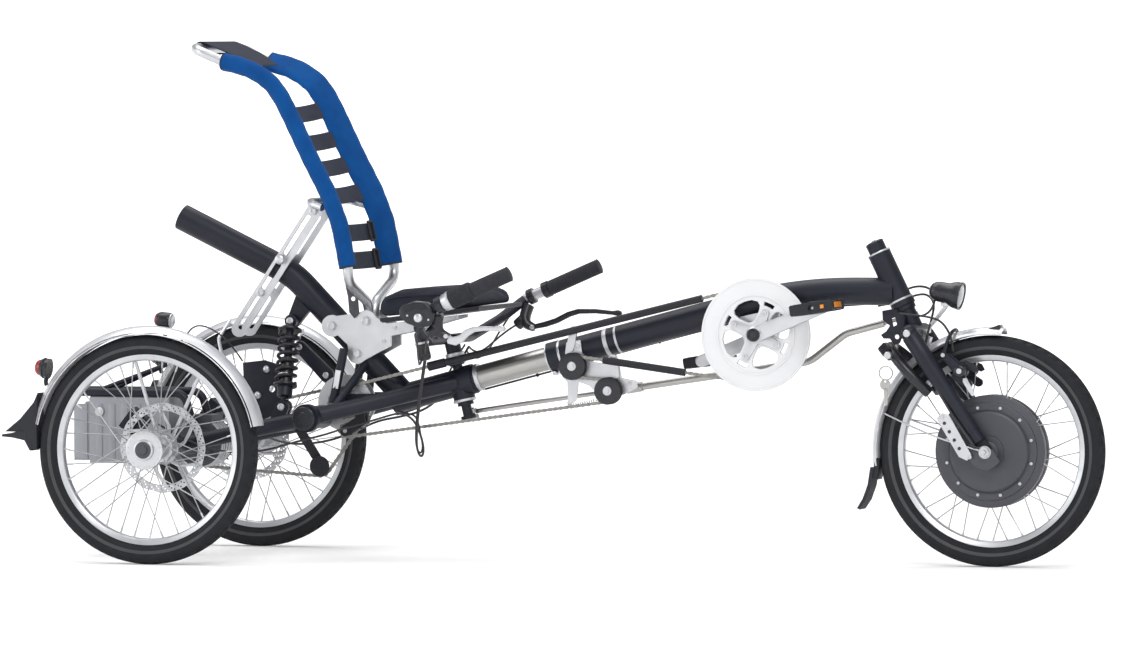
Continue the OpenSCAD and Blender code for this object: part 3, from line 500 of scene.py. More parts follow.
def make_tyre(name, centre, body):
    half = [(250, 1.6), (248.6, 2.1), (248.6, 3.2), (249.8, 3.7), (249.2, 8.2), (247.7, 8.7), (247.6, 9.9),
            (248.7, 10.4), (247.2, 14.6), (244.4, 18.4), (239.5, 21.6), (233.5, 23.2), (227, 23.5),
            (220, 21.6), (214, 17.4), (210.5, 13.4), (207.4, 12.4), (207.4, 10), (212, 9)]
    obj = turned(name, both_ends(half)[::-1], centre, (0, -1, 0), "tyre", None, 180)
    mesh = obj.data
    middle = Vector(centre)
    # Every third block of the shoulders is cut in, as a tread
    only(obj)
    bpy.ops.object.mode_set(mode="EDIT")
    bpy.ops.mesh.select_all(action="DESELECT")
    bpy.ops.object.mode_set(mode="OBJECT")
    for f in mesh.polygons:
        d = f.center - middle
        reach, side = math.hypot(d.x, d.z), abs(d.y)
        step = int(math.degrees(math.atan2(d.z, d.x)) // 2 + (0 if d.y > 0 else 1))
        f.select = (0.0105 < side < 0.019 and reach > 0.243 and step % 3 == 0) or \
                   (0.0038 < side < 0.0082 and reach > 0.248 and step % 4 == 1)
    bpy.ops.object.mode_set(mode="EDIT")
    bpy.ops.mesh.inset(thickness=0.0006, depth=-0.0014, use_individual=False)
    bpy.ops.object.mode_set(mode="OBJECT")
    mesh.materials.append(looks["pale_band"])
    for f in mesh.polygons:
        d = f.center - middle
        if 0.2205 < math.hypot(d.x, d.z) < 0.2265 and abs(d.y) > 0.0205:
            f.material_index = 1
    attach(obj, body)
    return obj


def make_rim(name, centre, body):
    half = [(203.6, 9.6), (208.6, 10.2), (209.5, 11.6), (209.3, 12.5), (206.5, 12.5), (205.8, 12.0),
            (197.5, 10.8), (195.4, 8.8), (194, 4)]
    return turned(name, both_ends(half), centre, (0, -1, 0), "aluminium", body, 128)


def make_spokes(name, centre, body, count, hub, offset):
    """Spokes from the hub's flanges to the rim. hub gives the flange's radius and height on each side."""
    x, y, z = centre
    thin, thick = [], []
    for k in range(count):
        side = k % 2
        r, h = hub[side]
        a = 2 * math.pi * k / count
        b = a + math.radians(offset) * (1 if (k // 2) % 2 else -1)
        low = (x + r * math.cos(b), y + h, z + r * math.sin(b))
        high = (x + 195 * math.cos(a), y + (3 if side else -3), z + 195 * math.sin(a))
        near = tuple(high[i] + (low[i] - high[i]) * 0.08 for i in range(3))
        thin.append([low, high])
        thick.append([near, high])
    spokes = tube(name, thin, 1.3, "spoke_steel", None, "POLY", 1)
    nipples = tube(name + "_nipples", thick, 2.1, "aluminium", None, "POLY", 1)
    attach(joined(name, [spokes, nipples]), body)


def make_rotor(name, side, body):
    """Brake disc: perforated ring on a spider, inboard of the hub."""
    y = side * (HALF_TRACK - 90)
    z = WHEEL_RADIUS
    edge = []
    for k in range(144):
        a = 2 * math.pi * k / 144
        wave = 98 + 0.9 * math.cos(12 * a)
        edge.append((wave * math.cos(a), z + wave * math.sin(a)))
    holes = [edge, circle(0, z, 81.5, 96)]
    for row, r in enumerate((85.5, 90, 94.2)):
        for k in range(36):
            a = math.radians(10 * k + 3.3 * row)
            holes.append(circle(r * math.cos(a), z + r * math.sin(a), 1.9, 8))
    ring = plate(name, holes, y, 2.0, "brake_steel", None, 0.2)
    arms = []
    for k in range(6):
        a = 2 * math.pi * k / 6
        curl = ((30, -0.18), (52, 0.16), (70, 0.42), (83, 0.55), (83, 0.66), (70, 0.55), (52, 0.32),
                (30, 0.14))
        outline = [(r * math.cos(a + t), z + r * math.sin(a + t)) for r, t in curl]
        arms.append(plate("arm", [outline], y, 1.8, "brake_steel", None, 0.2))
    middle = plate("middle", [circle(0, z, 36, 40), circle(0, z, 20, 30)], y, 2.6, "brake_steel", None, 0.3)
    spots = [(29 * math.cos(math.pi * k / 3), y + side * 1.2, z + 29 * math.sin(math.pi * k / 3))
             for k in range(6)]
    carrier_bolts = bolts("bolts", spots, (0, side, 0), 4, "aluminium", None, 2.5)
    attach(joined(name, [ring, middle, carrier_bolts] + arms), body)


def make_rear_hub(name, side, body):
    profile = [(10.1, 37), (19, 37), (22, 35.5), (23, 33), (23, 31), (40, 31), (42.4, 30.2), (43, 28.5),
               (42.4, 26), (40, 25.2), (26, 25), (21.5, 20), (19.5, 10), (19, -20), (19.4, -48), (24, -59.4),
               (31, -59.6), (33, -61), (33, -63.4), (31, -64.6), (24.4, -65), (24, -70), (24, -91.6),
               (22, -92), (10.1, -92)]
    place = at(0, side * HALF_TRACK, WHEEL_RADIUS)
    hub = turned(name, profile, place, (0, side, 0), "aluminium", None, 48)
    turned(name + "_cap", [(0, 43), (9, 43), (10, 42), (10, 38.6), (17, 38.6), (18.5, 37.6), (18.5, 36),
                           (0, 36)], place, (0, side, 0), "motor_grey", body, 32)
    turns = [math.pi * (k + 0.5) / 9 for k in range(18)]
    spots = [(37 * math.cos(a), side * (HALF_TRACK + 31), WHEEL_RADIUS + 37 * math.sin(a)) for a in turns]
    heads = bolts("spoke_heads", spots, (0, side, 0), 1.8, "aluminium", None, 1.2, True)
    shell = joined(name, [hub, heads])
    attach(shell, body)
    make_rotor(name + "_rotor", side, body)
    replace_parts(shell, f"{body.split('_')[0]}_hub")


for side, word in SIDES:
    body = word + "_wheel"
    centre = (0, side * HALF_TRACK, WHEEL_RADIUS)
    make_rear_hub(word + "_hub_shell", side, body)
    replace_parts(make_rim(word + "_wheel_rim", at(*centre), body), word + "_rim")
    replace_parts(make_tyre(word + "_wheel_tyre", at(*centre), body), word + "_tyre")
    flanges = ((38, -28), (29, 62)) if side < 0 else ((29, -62), (38, 28))
    make_spokes(word + "_spokes", centre, body, 36, flanges, 58)

FRONT_AXLE = (WHEELBASE, 0, WHEEL_RADIUS)
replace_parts(make_rim("front_wheel_rim", at(*FRONT_AXLE), "front_wheel"), "front_rim")
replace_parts(make_tyre("front_wheel_tyre", at(*FRONT_AXLE), "front_wheel"), "front_tyre")
make_spokes("front_spokes", FRONT_AXLE, "front_wheel", 36, ((117, -21), (117, 21)), 9)

motor_half = [(7.1, 42), (19, 42), (22, 40.5), (22, 38), (34, 38), (35, 37.2), (36, 38), (80, 38), (85, 37.2),
              (88, 34.6), (89, 30), (91, 28.2), (103, 28), (105.4, 27), (106, 24.4), (107, 23.8), (119, 23.6),
              (121.4, 22.4), (122, 20), (121.6, 6), (120, 4)]
motor = turned("motor_case", both_ends(motor_half), at(*FRONT_AXLE), (0, -1, 0), "motor_grey", None, 96)
for side, word in SIDES:
    turns = [math.pi * (k + 0.5) / 6 for k in range(12)]
    spots = [(WHEELBASE + 97 * math.cos(a), side * 28, WHEEL_RADIUS + 97 * math.sin(a)) for a in turns]
    bolts(f"cover_bolts_{word}", spots, (0, side, 0), 3.6, "aluminium", "front_wheel", 3)
    turned(f"axle_nut_{word}", [(0, 84), (5, 84), (6, 83), (6, 77), (10.5, 77), (12, 75.4), (12, 68),
                                (14, 67.6), (14, 65.9), (0, 65.9)], at(*FRONT_AXLE), (0, side, 0),
           "aluminium", "fork", 24)
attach(motor, "front_wheel")
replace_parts(motor, "hub_motor")


# ---------------------------------------------------------------- chain

CHAIN_Y, FINAL_CHAIN_Y = -48, 38
CHAIN_PITCH = 12.7


def chain_points(wheels):
    """Centre line of a chain round wheels of (x, z, radius, way it turns), as places in the side view."""
    def run(a, b):
        d = (b[0] - a[0], b[1] - a[1])
        return math.atan2(d[1], d[0]) - math.asin((b[3] * b[2] - a[3] * a[2]) / math.hypot(*d))
    points, n = [], len(wheels)
    for i, a in enumerate(wheels):
        before, after = run(wheels[i - 1], a), run(a, wheels[(i + 1) % n])
        sweep = ((after - before) * a[3]) % (2 * math.pi) * a[3]
        count = max(2, int(abs(sweep) * a[2] / 3))
        for k in range(count + 1):
            t = before - math.pi / 2 * a[3] + sweep * k / count
            points.append((a[0] + a[2] * math.cos(t), a[1] + a[2] * math.sin(t)))
    return points


def make_chain(name, wheels, y, node):
    points = chain_points(wheels)
    points.append(points[0])
    lengths = [math.dist(p, q) for p, q in zip(points, points[1:])]
    total = sum(lengths)
    count = int(round(total / CHAIN_PITCH / 2)) * 2
    pins, i, done = [], 0, 0.0
    for k in range(count):
        want = total * k / count
        while done + lengths[i] < want:
            done += lengths[i]
            i += 1
        t = (want - done) / lengths[i]
        pins.append((points[i][0] + (points[i + 1][0] - points[i][0]) * t,
                     points[i][1] + (points[i + 1][1] - points[i][1]) * t))
    half = CHAIN_PITCH / 2
    links = []
    for wide in (0, 1):
        # Side plate with a waist between its two round ends
        outline = []
        for end in (1, -1):
            for k in range(9):
                t = -math.pi / 2 * end + math.pi * k / 8
                outline.append((half * end + 3.9 * math.cos(t), 3.9 * math.sin(t)))
            outline.append((0, 2.7 * end))
        parts = []
        for side in (-1, 1):
            c = new_curve("side", [[(q[0] / 1000, q[1] / 1000) for q in outline]], cyclic=True, flat=True)
            c.data.fill_mode = "BOTH"
            c.data.extrude = 0.0005
            parts.append(tidy(to_mesh(c, Matrix.Translation((0, side * (0.0029 if wide else 0.0018), 0)) @
                                      SIDE), "chain_steel", None))
        # Outer links hold the pins and inner links the rollers
        pin, roller = [(0, 3.6), (1.8, 3.6), (1.8, -3.6), (0, -3.6)], [(3.3, 1.4), (3.3, -1.4), (2.2, -1.4),
                                                                       (2.2, 1.4)]
        for e in (-1, 1):
            parts.append(turned("roller", pin if wide else roller, Vector((e * half / 1000, 0, 0)), (0, 1, 0),
                                "chain_steel", None, 10, closed=not wide))
        links.append(joined("link", parts))
    made = []
    for wide in (0, 1):
        moves = []
        for k in range(wide, count, 2):
            p, q = pins[k], pins[(k + 1) % count]
            turn = math.atan2(q[1] - p[1], q[0] - p[0])
            moves.append(Matrix.Translation(at((p[0] + q[0]) / 2, y, (p[1] + q[1]) / 2)) @
                         Matrix.Rotation(-turn, 4, "Y"))
        made.append(copies(links[wide], moves, name))
    out = joined(name, made)
    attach(out, "frame")
    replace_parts(out, node)


CRANK, GEAR_HUB = (1285, 499), (338, 342)
IDLERS, TENSION_WHEELS, FINAL_WHEEL = ((867, 427), (948, 374)), ((345, 281), (384, 306)), (256, 198)
make_chain("main_chain_links", [(*CRANK, 105, -1), (*IDLERS[0], 23.5, 1), (*IDLERS[1], 23.5, -1),
                                (*TENSION_WHEELS[0], 14, -1), (*TENSION_WHEELS[1], 14, 1),
                                (*GEAR_HUB, 32, -1)], CHAIN_Y, "drive_chain")
make_chain("final_chain_links", [(*GEAR_HUB, 40, -1), (*FINAL_WHEEL, 22, -1), (0, WHEEL_RADIUS, 56, -1)],
           FINAL_CHAIN_Y, "final_chain")


# ---------------------------------------------------------------- crank set and pedals

CRANK_LEAN = 21.5
CRANK_LENGTH, PEDAL_Y = 170, 130
ARMS = [math.radians(65 + 90 * k) for k in range(4)]


def crank_end(side):
    """Place of a pedal's axle in the side view."""
    turn = math.radians(CRANK_LEAN if side < 0 else CRANK_LEAN + 180)
    return CRANK[0] + CRANK_LENGTH * math.cos(turn), CRANK[1] + CRANK_LENGTH * math.sin(turn)


def window(a):
    """Opening of the guard between two of its arms, wider towards the rim."""
    edge = [(31, 0.24), (42, 0.42), (54, 0.49), (65, 0.49), (72, 0.41)]
    left = [(CRANK[0] + r * math.cos(a - h), CRANK[1] + r * math.sin(a - h)) for r, h in edge]
    top = [(CRANK[0] + 76 * math.cos(a + t), CRANK[1] + 76 * math.sin(a + t)) for t in (-0.22, 0, 0.22)]
    right = [(CRANK[0] + r * math.cos(a + h), CRANK[1] + r * math.sin(a + h)) for r, h in reversed(edge)]
    bottom = [(CRANK[0] + 29 * math.cos(a), CRANK[1] + 29 * math.sin(a))]
    return left + top + right + bottom


def slot(a):
    """Short curved slot in the guard beyond an arm's bolt."""
    ends = [(66, t) for t in (-0.17, -0.06, 0.06, 0.17)] + [(75, t) for t in (0.17, 0.06, -0.06, -0.17)]
    return [(CRANK[0] + r * math.cos(a + t), CRANK[1] + r * math.sin(a + t)) for r, t in ends]


def toothed(x, z, root, tip, teeth, land=0.3, crest=0.05):
    """Outline of a sprocket. Land and half crest are shares of the way from tooth to tooth."""
    points = []
    step = 2 * math.pi / teeth
    for k in range(teeth):
        for t, r in ((0, root), (land, root), (0.5 - crest, tip), (0.5 + crest, tip), (1 - land, root)):
            points.append((x + r * math.cos((k + t) * step), z + r * math.sin((k + t) * step)))
    return points


windows = [window(a + math.pi / 4) for a in ARMS] + [slot(a) for a in ARMS]
ring_gear = plate("toothed_ring", [toothed(*CRANK, 100.6, 106.5, 52, 0.28, 0.08)] + windows, CHAIN_Y, 2.4,
                  "white_plastic", None, 0.2)
guard = plate("chain_guard", [circle(*CRANK, 123, 120)] + windows, -54, 3, "white_plastic", None, 0.8)
spider = plate("spider_disc", [circle(*CRANK, 84, 90)] + windows, -51, 8, "white_plastic", None, 0.8)
lip = turned("guard_lip", [(123, -1.5), (123, 1.5), (121.4, 2.6), (118.6, 2.6), (117.4, 1.4), (117.4, -1.4)],
             at(CRANK[0], -54, CRANK[1]), (0, -1, 0), "white_plastic", None, 120)
wheel_ring = turned("ring_ridge", [(88, 0.9), (88, 3.1), (86.6, 3.9), (85.4, 3.9), (84, 3.1), (84, 0.9)],
                    at(CRANK[0], -54, CRANK[1]), (0, -1, 0), "white_plastic", None, 96)
chain_wheel = joined("chain_wheel", [ring_gear, guard, spider, lip, wheel_ring])
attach(chain_wheel, "crank_set")
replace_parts(chain_wheel, "chainring")
bolts("chain_wheel_bolts", [(CRANK[0] + 51 * math.cos(a), -61.5, CRANK[1] + 51 * math.sin(a)) for a in ARMS],
      (0, -1, 0), 5.4, "aluminium", "crank_set", 2.6)

arms = []
for side in (-1, 1):
    end = crank_end(side)
    arms.append(plate("arm", [link_outline(CRANK, end, 18, 13)], side * 64, 14, "aluminium", None, 3.2))
    arms.append(turned("boss", [(0, 8), (15, 8), (18.4, 5), (18.4, -5), (0, -5)],
                       at(CRANK[0], side * 66, CRANK[1]), (0, side, 0), "aluminium", None, 36, closed=False))
    arms.append(turned("axle", [(0, 168), (4.5, 168), (6, 167), (6, 72), (8.4, 71), (8.4, 66), (0, 66)],
                       at(end[0], 0, end[1]), (0, side, 0), "aluminium", None, 20, closed=False))
    if side < 0:
        # Star arms of the right crank, out to the bolts
        for a in ARMS:
            root, tip = ((CRANK[0] + r * math.cos(a), CRANK[1] + r * math.sin(a)) for r in (8, 52))
            arms.append(plate("star", [link_outline(root, tip, 15, 9)], -59, 5, "aluminium", None, 1.2))
arms.append(turned("spindle", [(0, 74), (12, 74), (12, -74), (0, -74)], at(CRANK[0], 0, CRANK[1]), (0, 1, 0),
                   "aluminium", None, 32, closed=False))
crank_arms = joined("crank_arms", arms)
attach(crank_arms, "crank_set")
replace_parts(crank_arms, "cranks")
for side, word in SIDES:
    turned("crank_cap_" + word, [(0, 11.6), (8, 11.6), (9, 10.8), (10, 11.6), (13, 11.4), (14.6, 10),
                                 (14.6, 7.8), (0, 7.8)], at(CRANK[0], side * 66, CRANK[1]), (0, side, 0),
           "gloss_black", "crank_set", 32, closed=False)
    px, pz = crank_end(side)
    body = word + "_pedal"
    tilt = about_y(px, pz, 9)
    frame_outline = [(px - 48, pz - 9), (px - 45, pz - 12), (px + 45, pz - 12), (px + 48, pz - 9),
                     (px + 48, pz + 9), (px + 45, pz + 12), (px - 45, pz + 12), (px - 48, pz + 9)]
    parts = []
    y = side * PEDAL_Y
    for dy in (-45, 45):
        parts.append(plate("cheek", [frame_outline, circle(px, pz, 6.2)], y + dy, 8, "black_plastic", None,
                           1.2))
        for s in (-1, 1):
            for low in (10, -12.6):
                tread = oblong(px + s * 12, pz + low, px + s * 40, pz + low + 2.6)
                parts.append(plate("tread", [tread], y + dy * 0.5, 36, "grip_rubber", None, 0.8))
    for s in (-1, 1):
        end = [(px + s * 38, pz - 11), (px + s * 47, pz - 9), (px + s * 47, pz + 9), (px + s * 38, pz + 11)]
        web = oblong(px + s * 10, pz - 9.6, px + s * 39, pz + 9.6)
        parts.append(plate("end", [end], y, 92, "black_plastic", None, 1))
        parts.append(plate("web", [web], y, 40, "black_plastic", None, 1))
    parts.append(turned("barrel", [(6.2, 48), (13, 48), (14, 46), (14, -46), (13, -48), (6.2, -48)],
                        at(px, y, pz), (0, side, 0), "black_plastic", None, 28))
    pedal = joined(word + "_pedal_body", parts)
    pedal.data.transform(tilt)
    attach(pedal, body)
    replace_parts(pedal, body)
    for s, end in ((-1, "back"), (1, "front")):
        lens = plate(f"{word}_pedal_reflector_{end}", [oblong(px + s * 46.4, pz - 6, px + s * 48.6, pz + 6)],
                     y, 52, "amber", None, 0.6)
        lens.data.transform(tilt)
        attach(lens, body)
    side_lens = plate(word + "_pedal_side_lens", [oblong(px + 22, pz - 4, px + 30, pz + 4)],
                      y + side * 50, 2, "amber", None, 0.5)
    side_lens.data.transform(tilt)
    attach(side_lens, body)


# ---------------------------------------------------------------- seat

BACK = [(388, 642), (377, 700), (368, 742), (356, 772), (345, 801), (323, 843), (302, 882), (279, 929),
        (256, 976), (236, 1014), (214, 1044), (190, 1062), (163, 1077), (131, 1087), (99, 1094)]


def seat_line(t):
    """Place and heading at a share t of the way up the seat back's tube."""
    lengths = [math.dist(p, q) for p, q in zip(BACK, BACK[1:])]
    want = t * sum(lengths)
    for (p, q), d in zip(zip(BACK, BACK[1:]), lengths):
        if want <= d or q == BACK[-1]:
            s = want / d
            return (p[0] + (q[0] - p[0]) * s, p[1] + (q[1] - p[1]) * s), math.atan2(q[1] - p[1], q[0] - p[0])
        want -= d


def make_sleeve():
    """Quilted sleeve round the right-hand tube: an oval drawn out ring by ring along the tube."""
    (x, z), turn = seat_line(0)
    bpy.ops.object.select_all(action="DESELECT")
    bpy.ops.mesh.primitive_circle_add(vertices=28, radius=1, fill_type="NOTHING", location=(0, 0, 0))
    obj = bpy.context.object
    obj.name = obj.data.name = "right_quilted_sleeve"
    for v in obj.data.vertices:
        # Oval: a half round round the tube and a flatter wing towards the middle of the seat
        sideways = v.co.x * 0.0185 if v.co.x < 0 else v.co.x * 0.052
        forwards = v.co.y * (0.0175 if v.co.x < 0 else 0.0175 - 0.0075 * v.co.x)
        a = math.radians(20)
        v.co = (0, sideways * math.cos(a) + forwards * math.sin(a),
                forwards * math.cos(a) - sideways * math.sin(a))
    start = Matrix.Translation(at(x, -SLEEVE_Y, z)) @ Matrix.Rotation(-turn, 4, "Y")
    # In the ring's own frame +X runs up the tube, +Y to the middle of the seat and +Z to the front
    obj.data.transform(start @ Matrix.Scale(-1, 4, (0, 0, 1)))
    only(obj)
    bpy.ops.object.mode_set(mode="EDIT")
    bpy.ops.mesh.select_all(action="SELECT")
    rings = 58
    for k in range(1, rings + 1):
        (nx, nz), heading = seat_line(k / rings)
        here = at(nx, -SLEEVE_Y, nz)
        bpy.ops.mesh.extrude_edges_move(TRANSFORM_OT_translate={"value": here - at(x, -SLEEVE_Y, z)})
        bpy.ops.transform.rotate(value=heading - turn, orient_axis="Y", center_override=here)
        pinch = 0.955 if k % 4 == 0 else 1.015 if k < rings else 0.97
        last = 0.98 if k == 1 else 0.955 if k % 4 == 1 else 1.015
        s = pinch / last
        bpy.ops.transform.resize(value=(s, 1 + (s - 1) * 0.25, s), center_override=here)
        x, z, turn = nx, nz, heading
    bpy.ops.object.mode_set(mode="OBJECT")
    shell = obj.modifiers.new("shell", "SOLIDIFY")
    shell.thickness, shell.offset = 0.003, 0
    soft = obj.modifiers.new("soft", "SUBSURF")
    soft.levels = soft.render_levels = 1
    bpy.ops.object.modifier_apply(modifier="shell")
    bpy.ops.object.modifier_apply(modifier="soft")
    return tidy(obj, "blue_cloth", None, 80)


def binding(name, t, side, wire=1.9, grow=1.0, look="grey_webbing"):
    """Edge binding or seam thread round a sleeve."""
    (x, z), turn = seat_line(t)
    points = []
    for k in range(28):
        a = 2 * math.pi * k / 28
        c, s = math.cos(a), math.sin(a)
        sideways = grow * c * (19 if c < 0 else 53)
        forwards = grow * s * (18 if c < 0 else 18 - 7.5 * c)
        b = math.radians(20)
        u, n = sideways * math.cos(b) + forwards * math.sin(b), forwards * math.cos(b) - sideways * math.sin(b)
        points.append((x + n * math.sin(turn), side * (SLEEVE_Y - u), z - n * math.cos(turn)))
    return tube(name, [points + [points[0]]], wire, look, "frame", sides=1)


right = make_sleeve()
left = right.copy()
left.data = right.data.copy()
bpy.context.scene.collection.objects.link(left)
left.name = left.data.name = "left_quilted_sleeve"
left.data.transform(MIRROR)
left.data.flip_normals()
for obj, word, side in ((right, "right", -1), (left, "left", 1)):
    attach(obj, "frame")
    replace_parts(obj, word + "_sleeve")
    binding(word + "_sleeve_low_edge", 0.004, side)
    binding(word + "_sleeve_top_edge", 0.994, side)
    for k in range(4, 56, 4):
        binding(f"{word}_sleeve_seam_{k // 4}", k / 58, side, 0.9, 0.985, "seam_cloth")


def ribbon(name, points, matrix, width, thick, look, body):
    """Strap or cloth strip: its edge line in mm, drawn out sideways by its width."""
    obj = new_curve(name, [[(q[0] / 1000, q[1] / 1000) for q in points]], "NURBS", flat=True)
    obj.data.extrude = width / 2000
    obj = only(to_mesh(obj, matrix))
    shell = obj.modifiers.new("shell", "SOLIDIFY")
    shell.thickness, shell.offset = thick / 1000, 0
    bpy.ops.object.modifier_apply(modifier="shell")
    obj = tidy(obj, look, None, 60)
    if body:
        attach(obj, body)
    return obj


straps = []
for k, (z, sag) in enumerate(((660, 10), (719, 14), (812, 22), (872, 24), (926, 26), (990, 26))):
    t = min((i / 200 for i in range(201)), key=lambda s: abs(seat_line(s)[0][1] - z))
    (x, z), turn = seat_line(t)
    # Local X across the seat, local Y to the front, local Z up the seat back
    up = Vector((math.cos(turn), 0, math.sin(turn)))
    front = Vector((math.sin(turn), 0, -math.cos(turn)))
    place = Matrix.Translation(at(x, 0, z)) @ Matrix((Vector((0, 1, 0)), front, up)).transposed().to_4x4()
    line = [(y, -14 - sag * 0.8 * (1 - (y / 116) ** 2)) for y in range(-116, 117, 29)]
    strap = ribbon(f"back_strap_{k + 1}", line, place, 38, 2, "grey_webbing", "frame")
    straps.append(strap)
    if k < 2:
        # Slide buckle near the left sleeve
        bars = [[place @ Vector((0.076, -0.014, dz)), place @ Vector((0.097, -0.011, dz))]
                for dz in (-0.021, 0.021)]
        ends = [[bars[0][i], bars[1][i]] for i in (0, 1)]
        obj = new_curve(f"strap_buckle_{k + 1}", bars + ends)
        obj.data.bevel_depth = 0.0028
        obj.data.use_fill_caps = True
        tidy(to_mesh(obj), "black_plastic", "frame", 60)
for s in straps:
    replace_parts(s, "seat_straps")

head_line = [(20, 1108), (16.5, 1121), (21, 1133), (30, 1136.8), (40, 1134.4), (70, 1122), (100, 1109),
             (126, 1092), (138, 1084)]
head = ribbon("head_cloth", head_line, Matrix.Translation(at(0, 0, 0)) @ SIDE, 210, 2.4, "grey_webbing", None)
for v in head.data.vertices:
    # The cloth narrows from the sleeves towards its lower edge
    low = max(0.0, min(1.0, (v.co.x - at(60, 0, 0).x) / 0.078))
    v.co.y *= 1.06 - 0.14 * low
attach(head, "frame")
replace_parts(head, "headrest")


def make_cushion():
    """Seat cushion: a soft block blown up a little, so that its top swells and its corners pull in."""
    outline = [(452, 543), (470, 536), (560, 547), (662, 560), (666, 571), (657, 587), (630, 595), (560, 593),
               (494, 589), (466, 581), (453, 565)]
    obj = plate("cushion_pad", [outline], 0, 326, "seat_cloth", None, 11)
    only(obj)
    remesh = obj.modifiers.new("even", "REMESH")
    remesh.mode, remesh.voxel_size = "VOXEL", 0.007
    bpy.ops.object.modifier_apply(modifier="even")
    middle = at(559, 0, 565)
    for v in obj.data.vertices:
        # Corners round in when seen from above
        v.co.y *= 1 - 0.12 * min(1, abs(v.co.x - middle.x) / 0.107) ** 6
    rest = [v.co.copy() for v in obj.data.vertices]
    held = obj.vertex_groups.new(name="base")
    held.add([v.index for v in obj.data.vertices if v.normal.z < -0.5], 1.0, "REPLACE")
    cloth = obj.modifiers.new("cloth", "CLOTH")
    cloth.settings.quality = 5
    cloth.settings.mass = 0.3
    cloth.settings.tension_stiffness = 25
    cloth.settings.compression_stiffness = 25
    cloth.settings.use_pressure = True
    cloth.settings.uniform_pressure_force = 4
    cloth.settings.vertex_group_mass = "base"
    cloth.settings.effector_weights.gravity = 0
    cloth.point_cache.frame_start, cloth.point_cache.frame_end = 1, 16
    for f in range(1, 17):
        bpy.context.scene.frame_set(f)
    bpy.ops.object.modifier_apply(modifier="cloth")
    bpy.context.scene.frame_set(1)
    # The cover is tight: no point moves further than 6 mm
    for v, p in zip(obj.data.vertices, rest):
        d = v.co - p
        v.co = p + d * min(1.0, 0.006 / max(d.length, 1e-9))
    smooth = obj.modifiers.new("smooth", "SMOOTH")
    smooth.iterations = 3
    bpy.ops.object.modifier_apply(modifier="smooth")
    obj = tidy(obj, "seat_cloth", "frame", 180)
    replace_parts(obj, "seat_cushion")
    return obj


make_cushion()
piping = [(480, 574), (500, 579), (540, 583), (590, 585), (630, 585), (640, 582)]
for side, word in SIDES:
    tube(f"cushion_piping_{word}", [[(x, side * 163, z) for x, z in piping]], 1.6, "seat_cloth", "frame",
         sides=1)

for side, word in SIDES:
    bolts(f"strut_bolts_{word}", [(144, side * 42, 584), (268, side * 42, 764)], (0, side, 0), 8, "aluminium",
          "frame", 4)
    turned(f"strut_knob_{word}", [(0, 17), (6, 17), (10, 14.5), (11.5, 10), (10, 5.5), (7, 3), (7, 0),
                                  (0, 0)], at(193, side * 42, 657), (0, side, 0), "aluminium", "frame", 24,
           closed=False)
    bolts(f"bracket_bolts_{word}", [(310, side * 46, 511), (389, side * 46, 522), (368, side * 46, 450)],
          (0, side, 0), 8.5, "aluminium", "frame", 5)
    bolts(f"bracket_small_bolts_{word}", [(430, side * 40, 478), (456, side * 40, 508)], (0, side, 0), 4.5,
          "aluminium", "frame", 3)

# Rings that finish the sliding tube's clamps, and the bands on the boom
BOOM_RISE = math.radians(14.95)
BOOM = (math.cos(BOOM_RISE), 0, math.sin(BOOM_RISE))


def on_boom(x):
    """Place on the boom's centre line."""
    return at(x, 0, 399 + math.tan(BOOM_RISE) * (x - 635))


def boom_ring(name, x, r, wide, look, rise=0.8):
    return turned(name, [(r + 0.05, -wide / 2), (r + rise, -wide / 2), (r + rise + 0.2, -wide / 2 + 0.6),
                         (r + rise + 0.2, wide / 2 - 0.6), (r + rise, wide / 2), (r + 0.05, wide / 2)],
                  on_boom(x), BOOM, look, "frame", 64)


for k, (x, wide) in enumerate(((934, 9), (958, 5))):
    boom_ring(f"boom_band_{k + 1}", x, 30, wide, "silver_band", 0.25)
boom_ring("socket_ring", 637, 25.5, 8, "aluminium", 4.5)
boom_ring("clamp_front_ring", 829, 30, 5.6, "aluminium", 1.6)
boom_ring("clamp_rear_ring", 800, 25.5, 3, "aluminium", 6)
for k, x in enumerate((806, 820, 838, 854)):
    turned(f"clamp_bolt_{k + 1}", [(0, 5), (2.4, 5), (2.6, 7), (4.6, 7), (5, 6.4), (5, -12), (0, -12)],
           on_boom(x) + Vector((BOOM[2] * 0.036, -0.008, -BOOM[0] * 0.036)), (0, -1, 0), "aluminium", "frame",
           16, closed=False)


# ---------------------------------------------------------------- spring, damper and rear end

def coil(name, a, b, r, wire, turns, look, body):
    a, b = at(*a), at(*b)
    axis = (b - a).normalized()
    u = axis.orthogonal().normalized()
    v = axis.cross(u)
    n = int(turns * 20)
    points = []
    for k in range(n + 1):
        t = 2 * math.pi * turns * k / n
        points.append(a.lerp(b, k / n) + (u * math.cos(t) + v * math.sin(t)) * r / 1000)
    obj = new_curve(name, [points])
    obj.data.bevel_depth = wire / 1000
    obj.data.bevel_resolution = 2
    obj.data.use_fill_caps = True
    return tidy(to_mesh(obj), look, body, 70)


